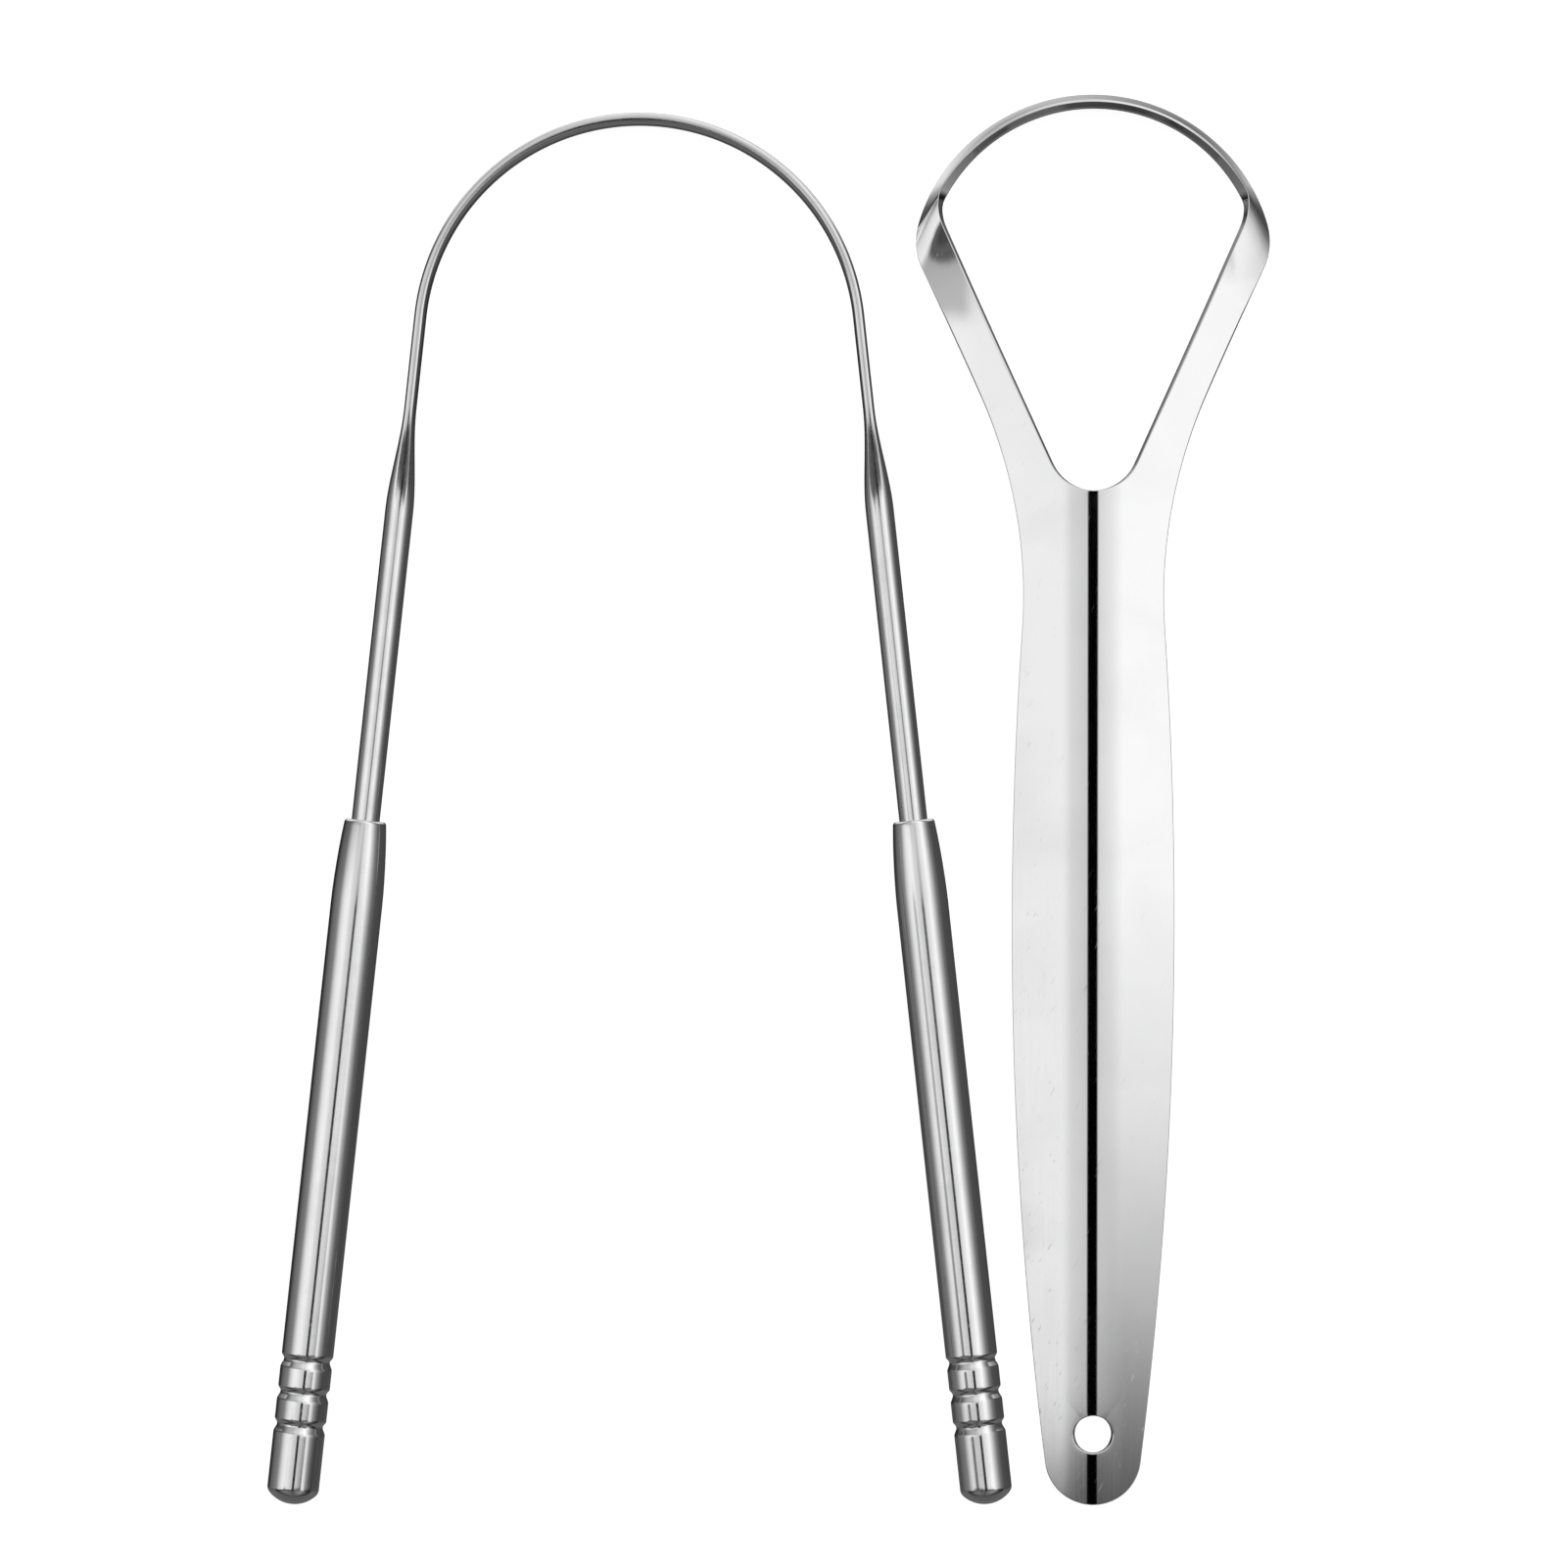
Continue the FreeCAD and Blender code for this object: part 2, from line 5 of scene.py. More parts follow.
import bmesh
import bpy
from bpy.props import FloatProperty, FloatVectorProperty, IntProperty, PointerProperty
from mathutils import Matrix, Vector


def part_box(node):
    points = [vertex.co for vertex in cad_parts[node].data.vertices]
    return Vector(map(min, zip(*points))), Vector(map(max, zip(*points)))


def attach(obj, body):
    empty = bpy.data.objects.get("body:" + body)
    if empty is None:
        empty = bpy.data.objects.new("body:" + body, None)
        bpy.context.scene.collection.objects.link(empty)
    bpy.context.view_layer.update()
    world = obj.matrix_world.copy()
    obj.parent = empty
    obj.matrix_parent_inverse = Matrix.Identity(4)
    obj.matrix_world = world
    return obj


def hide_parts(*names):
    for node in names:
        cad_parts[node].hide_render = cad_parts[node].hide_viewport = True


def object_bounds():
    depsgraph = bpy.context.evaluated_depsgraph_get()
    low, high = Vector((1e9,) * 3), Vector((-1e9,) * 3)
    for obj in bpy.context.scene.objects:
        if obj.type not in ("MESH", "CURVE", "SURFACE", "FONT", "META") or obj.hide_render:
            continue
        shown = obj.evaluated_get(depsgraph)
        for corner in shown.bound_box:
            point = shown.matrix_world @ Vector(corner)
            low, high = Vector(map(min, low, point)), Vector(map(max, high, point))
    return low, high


bl_info = {
    "name": "Tongue Scraper Set",
    "version": (1, 0, 0),
    "blender": (4, 5, 0),
    "location": "3D View > Sidebar > Scrapers",
    "description": "Builds two polished steel tongue scrapers and the studio they lie in",
    "category": "Add Mesh",
}

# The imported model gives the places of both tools. Everything is in metres.
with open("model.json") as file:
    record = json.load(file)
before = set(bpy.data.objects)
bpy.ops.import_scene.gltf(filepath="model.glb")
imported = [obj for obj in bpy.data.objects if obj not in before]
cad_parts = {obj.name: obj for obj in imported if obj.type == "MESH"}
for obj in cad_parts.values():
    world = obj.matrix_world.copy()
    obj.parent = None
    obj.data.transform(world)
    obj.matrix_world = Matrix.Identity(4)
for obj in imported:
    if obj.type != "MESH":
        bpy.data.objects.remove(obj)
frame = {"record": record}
CAD_BOX = [list(corner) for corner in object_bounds()]
MOUNTS = {mount["name"]: mount for mount in frame["record"]["mounts"]}
UP = Vector((0, 0, 1))
# Vertex attribute with the place that the finish follows
GRAIN = "grain"
# Faces round a turned piece and on a rounded corner of its profile
ROUND_STEPS = 72
CORNER_STEPS = 6
# Edges steeper than this are shaded crisp
SHARP_ANGLE = radians(38)
# Vertices nearer than this become one
MERGE_DISTANCE = 1e-6


# Sizes and colours


def length(name, description, default):
    """A length property in metres."""
    return FloatProperty(name=name, description=description, default=default, unit="LENGTH", precision=5)


def angle(name, description, default):
    """An angle property, shown in degrees."""
    return FloatProperty(name=name, description=description, default=default, unit="ROTATION")


def factor(name, description, default):
    """A plain number property."""
    return FloatProperty(name=name, description=description, default=default, precision=3)


def colour(name, description, default):
    """A colour property."""
    return FloatVectorProperty(
        name=name, description=description, default=default, subtype="COLOR", size=3, min=0, max=1
    )


class BowSizes(bpy.types.PropertyGroup):
    """Sizes of the bent rod of the U"""

    radius: length("Arch radius", "From the arch's centre to the middle of the band", 0.0234)
    thickness: length("Band thickness", "Thickness of the rolled band", 0.0012)
    width: length("Band width", "Width of the rolled band, which stands on edge", 0.0052)
    leg: length("Band leg", "Straight band between the arch and the flare", 0.0099)
    flare: length("Flare", "Length over which the band turns into the round rod", 0.011)
    rod_diameter: length("Rod diameter", "Diameter of the round rod", 0.003)
    rod_length: length("Bare rod", "Length of rod between the flare and the handle", 0.033)
    socket: length("Socket", "Length of rod hidden in the handle", 0.016)
    roundness: factor("Band roundness", "2 gives an oval section, more gives a squarer one", 4.6)


class HandleSizes(bpy.types.PropertyGroup):
    """Sizes of the tubular handles and their end plugs"""

    diameter: length("Diameter", "Outside diameter of tube and plug", 0.0055)
    length: length("Length", "From the mouth to the end of the dome", 0.073)
    bore: length("Bore", "Inside diameter of the tube", 0.0039)
    mouth: length("Mouth", "Outside diameter at the swaged mouth", 0.0044)
    mouth_round: length("Mouth rounding", "Rounding of the mouth's outer edge", 0.0003)
    taper: length("Taper", "Length of the swaged taper", 0.0095)
    fit: length("Fit", "Clearance of rod and spigot in the tube", 0.00002)
    groove_count: IntProperty(name="Grooves", description="Grooves near the end", default=3, min=1)
    groove_spacing: length("Groove spacing", "From one groove to the next", 0.00345)
    groove_width: length("Groove width", "Width at the surface", 0.0013)
    groove_bottom: length("Groove bottom", "Width of the flat bottom", 0.0003)
    groove_lean: length("Groove lean", "How far the bottom lies towards the mouth", 0.00012)
    groove_depth: length("Groove depth", "Depth below the surface", 0.0003)
    plug_head: length("Plug head", "Length of the plug outside the tube", 0.0083)
    spigot: length("Spigot", "Length of the plug inside the tube", 0.009)
    end_round: length("End rounding", "Radius between the plug's side and its dome", 0.001)
    end_crown: length("End crown", "Radius of the dome", 0.0034)


class LoopSizes(bpy.types.PropertyGroup):
    """Sizes of the scraper stamped from one sheet"""

    length: length("Length", "From the handle's tip to the top of the loop", 0.15)
    thickness: length("Thickness", "Thickness of the sheet", 0.001)
    tip_radius: length("Tip radius", "Radius of the handle's round end", 0.005)
    belly_width: length("Belly width", "Widest part of the handle", 0.01706)
    belly_height: length("Belly height", "From the tip to the widest part", 0.06176)
    waist_width: length("Waist width", "Narrowest part of the handle", 0.0147)
    waist_radius: length("Waist radius", "Radius of the waist's side", 0.052)
    notch_radius: length("Notch radius", "Radius between the arms", 0.00485)
    arm_angle: angle("Arm angle", "From the centre line to an arm", radians(24.3))
    hole_diameter: length("Hole diameter", "Diameter of the hanging hole", 0.004)
    hole_inset: length("Hole inset", "From the tip to the hole's centre", 0.0075)
    ridge_height: length("Ridge height", "From the loop's lower edge to where the wings meet", 0.0063615)
    wing_slope: angle("Wing slope", "Slope of the handle's two sides", radians(16))
    crest_radius: length("Crest radius", "Radius of the pressed ridge", 0.012)
    strip_width: length("Strip width", "Width of the strip that makes the loop", 0.004)
    arm_spread: length("Arm spread", "From the centre line to an arm, level with the crown", 0.01545)
    crown_radius: length("Crown radius", "Radius of the loop's top", 0.0187)
    crown_lean: angle("Crown lean", "Lean of the strip round the loop's top", radians(11.5))
    corner_reach: length("Corner reach", "Length of strip on each side that shares in a corner", 0.002)
    corner_drop: length("Corner drop", "How far an arm is bent down at its outer corner", 0.0006)
    edge_round: length("Edge rounding", "Rounding of the strip's edges", 0.00025)


class SteelLook(bpy.types.PropertyGroup):
    """Colours and polish of the steel"""

    bright: colour("Bright steel", "Colour of clean polished steel", (0.88, 0.88, 0.885))
    dull: colour("Dull steel", "Colour where the polish is duller", (0.83, 0.83, 0.838))
    sheet_roughness: factor("Sheet roughness", "Roughness of the polished sheet", 0.045)
    tube_roughness: factor("Tube roughness", "Roughness of tubes and plugs", 0.11)
    rod_roughness: factor("Rod roughness", "Roughness of the bow", 0.14)


class StudioLook(bpy.types.PropertyGroup):
    """Floor, light and camera"""

    floor: colour("Floor", "Colour of the floor", (0.5, 0.5, 0.5))
    floor_glow: factor("Floor glow", "Light of the lit floor itself", 0.9)
    panels: factor("Panels", "Brightness of the two light panels overhead", 1.0)
    backdrop: factor("Backdrop", "Brightness behind the floor", 1.0)
    camera_height: length("Camera height", "Height of the camera over the floor", 0.9)
    view_width: length("View width", "Width of the picture at the tools", 0.1665)
    view_x: length("View x", "Middle of the picture, across", 0.00187)
    view_y: length("View y", "Middle of the picture, lengthwise", 0.00144)


# Mesh tools


def start_row(bm, start, end, segments):
    """Draw a straight row of vertices and return it in order."""
    edge = bm.edges.new((bm.verts.new(start), bm.verts.new(end)))
    bmesh.ops.subdivide_edges(bm, edges=[edge], cuts=segments - 1)
    return sorted(bm.verts, key=lambda vert: (vert.co - start).length)


def extrude_row(bm, row, points, closed=False):
    """Extrude a row of vertices, put the new one at the points and return it in the same order."""
    neighbours = row[1:] + row[:1] if closed else row[1:]
    edges = [bm.edges.get(pair) for pair in zip(row, neighbours)]
    made = set(bmesh.ops.extrude_edge_only(bm, edges=edges)["geom"])
    following = []
    for vert, point in zip(row, points):
        others = [edge.other_vert(vert) for edge in vert.link_edges]
        match = next(other for other in others if other in made)
        match.co = point
        following.append(match)
    return following


def draw_profile(bm, points):
    """Draw a chain of edges through radius and depth pairs, in the plane of X and -Y."""
    verts = [bm.verts.new((radius, -depth, 0)) for radius, depth in points]
    for pair in zip(verts, verts[1:]):
        bm.edges.new(pair)
    return verts


def round_corners(bm, verts, offset):
    """Round corners of a profile."""
    bmesh.ops.bevel(
        bm, geom=verts, offset=offset, segments=CORNER_STEPS, profile=0.5, affect="VERTICES", material=-1
    )


def spin_profile(bm):
    """Turn the profile all the way round Y and close its seam and poles."""
    bmesh.ops.spin(
        bm, geom=bm.verts[:] + bm.edges[:], cent=(0, 0, 0), axis=(0, 1, 0), angle=2 * pi,
        steps=ROUND_STEPS, use_merge=True,
    )
    bmesh.ops.remove_doubles(bm, verts=bm.verts, dist=MERGE_DISTANCE)
    bmesh.ops.recalc_face_normals(bm, faces=bm.faces)


def mark_sharp_edges(bm):
    """Keep the shading crisp where two faces meet at a steep angle."""
    for edge in bm.edges:
        edge.smooth = not edge.is_manifold or edge.calc_face_angle() < SHARP_ANGLE


def keep_grain(bm, coordinate):
    """Store for each vertex the place that the finish follows: across, along and through the piece."""
    layer = bm.verts.layers.float_vector.get(GRAIN) or bm.verts.layers.float_vector.new(GRAIN)
    for vert in bm.verts:
        vert[layer] = coordinate(vert.co)


def finish_piece(bm, name, node, body, material):
    """Turn a mesh into the named piece, which stands for a node of the model and rides on its body."""
    if not bm.faces:
        raise RuntimeError(f"{name} has no faces")
    for face in bm.faces:
        face.smooth = True
    mesh = bpy.data.meshes.new(name)
    bm.to_mesh(mesh)
    bm.free()
    piece = bpy.data.objects.new(name, mesh)
    bpy.context.scene.collection.objects.link(piece)
    mesh.materials.append(material)
    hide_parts(node)
    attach(piece, body)
    return piece


def ease(share):
    """Smooth step from 0 to 1 with level ends."""
    share = min(max(share, 0), 1)
    return share**2 * (3 - 2 * share)


# Steel

# Noise levels between which lines, dull patches and scratches come up
LINE_LEVELS = (0.3, 0.7)
PATCH_LEVELS = (0.42, 0.72)
SCRATCH_LEVELS = (0.70, 0.78)
# Turn of the scratches from the piece's length, and their number in a metre across, along and through it
SCRATCH_TURN = 0.5
SCRATCH_SCALE = (6000.0, 260.0, 6000.0)
# What lines and patches add to the roughness, as shares of it, what a scratch adds, and how high lines stand
LINE_CONTRAST = 0.2
PATCH_DULLNESS = 0.25
SCRATCH_DULLNESS = 0.1
LINE_HEIGHT = 0.00002


def add_node(tree, kind, links=None, **settings):
    """Add a node, set its attributes and link or set its inputs."""
    node = tree.nodes.new(kind)
    for key, setting in settings.items():
        setattr(node, key, setting)
    for socket, source in (links or {}).items():
        if isinstance(source, bpy.types.NodeSocket):
            tree.links.new(source, node.inputs[socket])
        else:
            node.inputs[socket].default_value = source
    return node


def calculate(tree, operation, *values):
    """The result of a sum on values or sockets."""
    return add_node(tree, "ShaderNodeMath", dict(enumerate(values)), operation=operation).outputs[0]


def map_range(tree, source, low, high, to_low=0.0, to_high=1.0):
    """A value moved from one range to another, and kept inside it."""
    links = {"Value": source, "From Min": low, "From Max": high, "To Min": to_low, "To Max": to_high}
    return add_node(tree, "ShaderNodeMapRange", links).outputs["Result"]


def mix_colours(tree, share, first, second):
    """A colour between two others. The node's colour sockets come after those for numbers and vectors."""
    first_colour, second_colour, mixed_colour = 6, 7, 2
    links = {"Factor": share, first_colour: first, second_colour: second}
    return add_node(tree, "ShaderNodeMix", links, data_type="RGBA").outputs[mixed_colour]


def finish_group():
    """A node group with the marks of a polished finish: drawn lines, dull patches and fine scratches."""
    name = "polished_finish"
    if name in bpy.data.node_groups:
        return bpy.data.node_groups[name]
    tree = bpy.data.node_groups.new(name, "ShaderNodeTree")
    sockets = (
        ("Place", "INPUT", "NodeSocketVector"),
        ("Line Spacing", "INPUT", "NodeSocketVector"),
        ("Patch Size", "INPUT", "NodeSocketFloat"),
        ("Lines", "OUTPUT", "NodeSocketFloat"),
        ("Patches", "OUTPUT", "NodeSocketFloat"),
        ("Scratches", "OUTPUT", "NodeSocketFloat"),
    )
    for socket, direction, kind in sockets:
        tree.interface.new_socket(socket, in_out=direction, socket_type=kind)
    given = tree.nodes.new("NodeGroupInput").outputs
    spaced = add_node(
        tree, "ShaderNodeVectorMath", {0: given["Place"], 1: given["Line Spacing"]}, operation="DIVIDE"
    )
    lines = add_node(
        tree, "ShaderNodeTexNoise",
        {"Vector": spaced.outputs[0], "Scale": 1.0, "Detail": 3.0, "Roughness": 0.6},
    )
    patch_scale = calculate(tree, "DIVIDE", 1.0, given["Patch Size"])
    clouds = add_node(
        tree, "ShaderNodeTexNoise",
        {"Vector": given["Place"], "Scale": patch_scale, "Detail": 4.0, "Distortion": 0.6},
    )
    turned = add_node(
        tree, "ShaderNodeVectorRotate", {"Vector": given["Place"], "Angle": SCRATCH_TURN},
        rotation_type="Z_AXIS",
    )
    drawn_out = add_node(
        tree, "ShaderNodeVectorMath", {0: turned.outputs[0], 1: SCRATCH_SCALE}, operation="MULTIPLY"
    )
    hairs = add_node(
        tree, "ShaderNodeTexNoise", {"Vector": drawn_out.outputs[0], "Scale": 1.0, "Detail": 1.0}
    )
    marks = {
        "Lines": lines.outputs["Fac"],
        "Patches": map_range(tree, clouds.outputs["Fac"], *PATCH_LEVELS),
        "Scratches": map_range(tree, hairs.outputs["Fac"], *SCRATCH_LEVELS),
    }
    add_node(tree, "NodeGroupOutput", marks)
    return tree


def make_steel(name, look, roughness, line_spacing, patch_size, line_bump):
    """A polished steel whose finish follows the piece. Lines run where their spacing is long."""
    if name in bpy.data.materials:
        return bpy.data.materials[name]
    material = bpy.data.materials.new(name)
    material.use_nodes = True
    tree = material.node_tree
    shader = tree.nodes["Principled BSDF"].inputs
    shader["Metallic"].default_value = 1.0
    place = add_node(tree, "ShaderNodeAttribute", attribute_name=GRAIN)
    marks = add_node(
        tree, "ShaderNodeGroup",
        {"Place": place.outputs["Vector"], "Line Spacing": line_spacing, "Patch Size": patch_size},
        node_tree=finish_group(),
    ).outputs
    tone = mix_colours(tree, marks["Patches"], (*look.bright, 1), (*look.dull, 1))
    tree.links.new(tone, shader["Base Color"])
    smooth, rough = (1 - LINE_CONTRAST) * roughness, (1 + LINE_CONTRAST) * roughness
    lined = map_range(tree, marks["Lines"], *LINE_LEVELS, smooth, rough)
    dulled = calculate(tree, "MULTIPLY_ADD", marks["Patches"], PATCH_DULLNESS * roughness, lined)
    scratched = calculate(tree, "MULTIPLY_ADD", marks["Scratches"], SCRATCH_DULLNESS, dulled)
    tree.links.new(scratched, shader["Roughness"])
    bump = add_node(
        tree, "ShaderNodeBump", {"Height": marks["Lines"], "Strength": line_bump, "Distance": LINE_HEIGHT}
    )
    tree.links.new(bump.outputs["Normal"], shader["Normal"])
    return material


# The U-shaped scraper

# Rings of faces along the flare and the arch, and faces round the rod
FLARE_STEPS = 18
ARCH_STEPS = 96
ROD_STEPS = 56
# Bare rod between the flare and the first ring beyond it
ROD_START = 0.001
# Shares of the taper and of a groove's bottom that the rounding of their corners takes up
SWAGE_ROUND = 0.44
RIM_ROUND = 0.45
# Rings of faces on the plug's rounded edge and on its dome
EDGE_STEPS = 8
DOME_STEPS = 18


def u_frame():
    """Middle of the U across, its level, and the splay of its arms, from the two grips."""
    left, right = (Vector(MOUNTS[f"{side}_grip"]["pos_m"]) for side in ("left", "right"))
    axis = Vector(MOUNTS["right_grip"]["axis"])
    return (left.x + right.x) / 2, left.z, atan2(axis.x, -axis.y)


def arch_height(bow):
    """Y of the arch's centre, from the top of the bow in the model."""
    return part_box("bow")[1].y - bow.radius - bow.thickness / 2


def bow_path(sizes):
    """Stations along the bow from the right rod's hidden end to the left one's: point, outward
    direction, travel along the bow and share of round rod."""
    middle, level, splay = u_frame()
    centre = Vector((middle, arch_height(sizes), level))
    sweep = pi - 2 * splay
    arch_length = sizes.radius * sweep
    bare_rod = sizes.leg + sizes.flare
    handle = bare_rod + sizes.rod_length
    travels = [handle + sizes.socket, handle, bare_rod + ROD_START]
    travels += [sizes.leg + sizes.flare * step / FLARE_STEPS for step in range(FLARE_STEPS, -1, -1)]
    travels += [sizes.leg / 2]
    arms = {1: [], -1: []}
    for side, arm in arms.items():
        out = Vector((side * cos(splay), sin(splay), 0))
        down = Vector((side * sin(splay), -cos(splay), 0))
        for travel in travels:
            point = centre + out * sizes.radius + down * travel
            along = -travel if side > 0 else arch_length + travel
            arm.append((point, out, along, ease((travel - sizes.leg) / sizes.flare)))
    arch = []
    for step in range(ARCH_STEPS + 1):
        turn = splay + sweep * step / ARCH_STEPS
        out = Vector((cos(turn), sin(turn), 0))
        arch.append((centre + out * sizes.radius, out, arch_length * step / ARCH_STEPS, 0))
    return arms[1] + arch + arms[-1][::-1]


def bow_section(sizes, share, turn):
    """Outward and upward offsets of the bow's section: a rounded band at share 0, a round rod at share 1."""
    rod = sizes.rod_diameter / 2
    half_thickness = sizes.thickness / 2 * (1 - share) + rod * share
    half_width = sizes.width / 2 * (1 - share) + rod * share
    power = 2 / (sizes.roundness * (1 - share) + 2 * share)
    outward = half_thickness * abs(cos(turn)) ** power * (1 if cos(turn) > 0 else -1)
    upward = half_width * abs(sin(turn)) ** power * (1 if sin(turn) > 0 else -1)
    return outward, upward


def make_bow(sizes, look):
    """Extrude the section along the path of the U."""
    bm = bmesh.new()
    grain = bm.verts.layers.float_vector.new(GRAIN)
    circle = bmesh.ops.create_circle(bm, cap_ends=True, segments=ROD_STEPS, radius=sizes.rod_diameter)
    ring = circle["verts"]
    for number, (point, out, travel, share) in enumerate(bow_path(sizes)):
        offsets = [bow_section(sizes, share, 2 * pi * step / ROD_STEPS) for step in range(ROD_STEPS)]
        places = [point + out * outward + UP * upward for outward, upward in offsets]
        if number == 0:
            for vert, place in zip(ring, places):
                vert.co = place
        else:
            ring = extrude_row(bm, ring, places, closed=True)
        for vert, (outward, upward) in zip(ring, offsets):
            vert[grain] = Vector((outward, travel, upward))
    bmesh.ops.holes_fill(bm, edges=bm.edges, sides=0)
    bmesh.ops.recalc_face_normals(bm, faces=bm.faces)
    mark_sharp_edges(bm)
    steel = make_steel(
        "rolled_rod_steel", look, look.rod_roughness,
        line_spacing=(0.0002, 0.012, 0.0002), patch_size=0.004, line_bump=0.06,
    )
    finish_piece(bm, "rolled_bow", "bow", "u_scraper", steel)


def handle_place(bow, side):
    """Matrix that puts a handle, drawn from its mouth down -Y, on the right (1) or left (-1) arm."""
    middle, level, splay = u_frame()
    travel = bow.leg + bow.flare + bow.rod_length
    x = middle + side * (bow.radius * cos(splay) + travel * sin(splay))
    y = arch_height(bow) + bow.radius * sin(splay) - travel * cos(splay)
    return Matrix.Translation((x, y, level)) @ Matrix.Rotation(side * splay, 4, "Z")


def turn_and_place(bm, place):
    """Spin a profile round, keep its own coordinates for the finish and put it on its arm."""
    spin_profile(bm)
    mark_sharp_edges(bm)
    keep_grain(bm, lambda point: point)
    bmesh.ops.transform(bm, matrix=place, verts=bm.verts)


def groove_half(sizes, seam, direction):
    """One side of a groove, from a ring that holds the shading, over the rim, to the bottom corner."""
    surface = sizes.diameter / 2
    return [
        (surface, seam + direction * (sizes.groove_width / 2 + sizes.groove_bottom)),
        (surface, seam + direction * sizes.groove_width / 2),
        (surface - sizes.groove_depth, seam - sizes.groove_lean + direction * sizes.groove_bottom / 2),
    ]


def make_tube(name, node, sizes, bow, side, material):
    """A tube swaged down onto the rod at its mouth, with grooves near its other end."""
    bm = bmesh.new()
    radius, bore = sizes.diameter / 2, sizes.bore / 2
    grip = bow.rod_diameter / 2 + sizes.fit
    seam = sizes.length - sizes.plug_head
    corners = [(grip, 0), (sizes.mouth / 2, 0), (radius, sizes.taper / 2), (radius, sizes.taper)]
    edges_of_grooves = []
    for number in reversed(range(sizes.groove_count)):
        middle = seam - number * sizes.groove_spacing
        edges_of_grooves += [len(corners) + 1, len(corners) + 2]
        corners += groove_half(sizes, middle, -1)
        if number:
            edges_of_grooves += [len(corners), len(corners) + 1]
            corners += reversed(groove_half(sizes, middle, 1))
    corners += [(radius - sizes.groove_depth, seam), (bore, seam)]
    corners += [(bore, sizes.taper), (grip, sizes.taper / 2)]
    profile = draw_profile(bm, corners)
    bm.edges.new((profile[-1], profile[0]))
    mouth, swage = profile[1], profile[2]
    groove_corners = [profile[number] for number in edges_of_grooves]
    round_corners(bm, [swage], sizes.taper * SWAGE_ROUND)
    round_corners(bm, [mouth], sizes.mouth_round)
    round_corners(bm, groove_corners, sizes.groove_bottom * RIM_ROUND)
    turn_and_place(bm, handle_place(bow, side))
    finish_piece(bm, name, node, "u_scraper", material)


def make_plug(name, node, sizes, bow, side, material):
    """A domed head with a spigot in the tube's bore."""
    bm = bmesh.new()
    radius, spigot = sizes.diameter / 2, sizes.bore / 2 - sizes.fit
    seam = sizes.length - sizes.plug_head
    inset = radius - sizes.end_round
    reach = sizes.end_crown - sizes.end_round
    crown_middle = sizes.length - sizes.end_crown
    shoulder = crown_middle + sqrt(reach**2 - inset**2)
    corners = [(0, seam - sizes.spigot), (spigot, seam - sizes.spigot), (spigot, seam)]
    corners += [(radius - sizes.groove_depth, seam)]
    rim_number = len(corners) + 1
    corners += reversed(groove_half(sizes, seam, 1))
    corners += [(radius, shoulder - sizes.groove_bottom), (radius, shoulder)]
    profile = draw_profile(bm, corners)
    rim, last = profile[rim_number], profile[-1]
    round_turn = atan2(shoulder - crown_middle, inset)
    arcs = ((inset, shoulder, round_turn, EDGE_STEPS), (0, crown_middle, pi / 2 - round_turn, DOME_STEPS))
    for centre_radius, centre_depth, turn, steps in arcs:
        made = bmesh.ops.spin(
            bm, geom=[last], cent=(centre_radius, -centre_depth, 0), axis=(0, 0, 1), angle=-turn, steps=steps
        )
        last = made["geom_last"][0]
    round_corners(bm, [rim], sizes.groove_bottom * RIM_ROUND)
    turn_and_place(bm, handle_place(bow, side))
    finish_piece(bm, name, node, "u_scraper", material)


# The loop scraper

# Columns of faces across half the handle: inside the notch and on the arm
NOTCH_COLUMNS = 19
ARM_COLUMNS = 4
# Heights up the handle where the rows around the hole end and where those round the notch start
TIP_TOP = 0.016
FORK_START = 0.092
# Length of a row of faces on the handle, and rows from there to the notch
ROW_LENGTH = 0.0019
FORK_STEPS = 16
# Points down the side and round the end of the tip, and rings of faces from there in to the hole
SIDE_STEPS = 14
TIP_STEPS = 24
HOLE_RINGS = 16
# Rows of faces on the flat root of an arm and on the strip from there to the top of the loop
ROOT_STEPS = 10
STRIP_STEPS = 84
# Share of half the crown over which the strip turns on edge
TWIST_SHARE = 0.6
# Places along the strip that are averaged to round a corner
CORNER_SAMPLES = 9
# Share of the edge rounding that is left on the handle, and again near the corners where the strip folds
REDUCED_ROUND = 0.4
# How far from a corner the rounding grows to its full size
CORNER_ZONE = 0.004


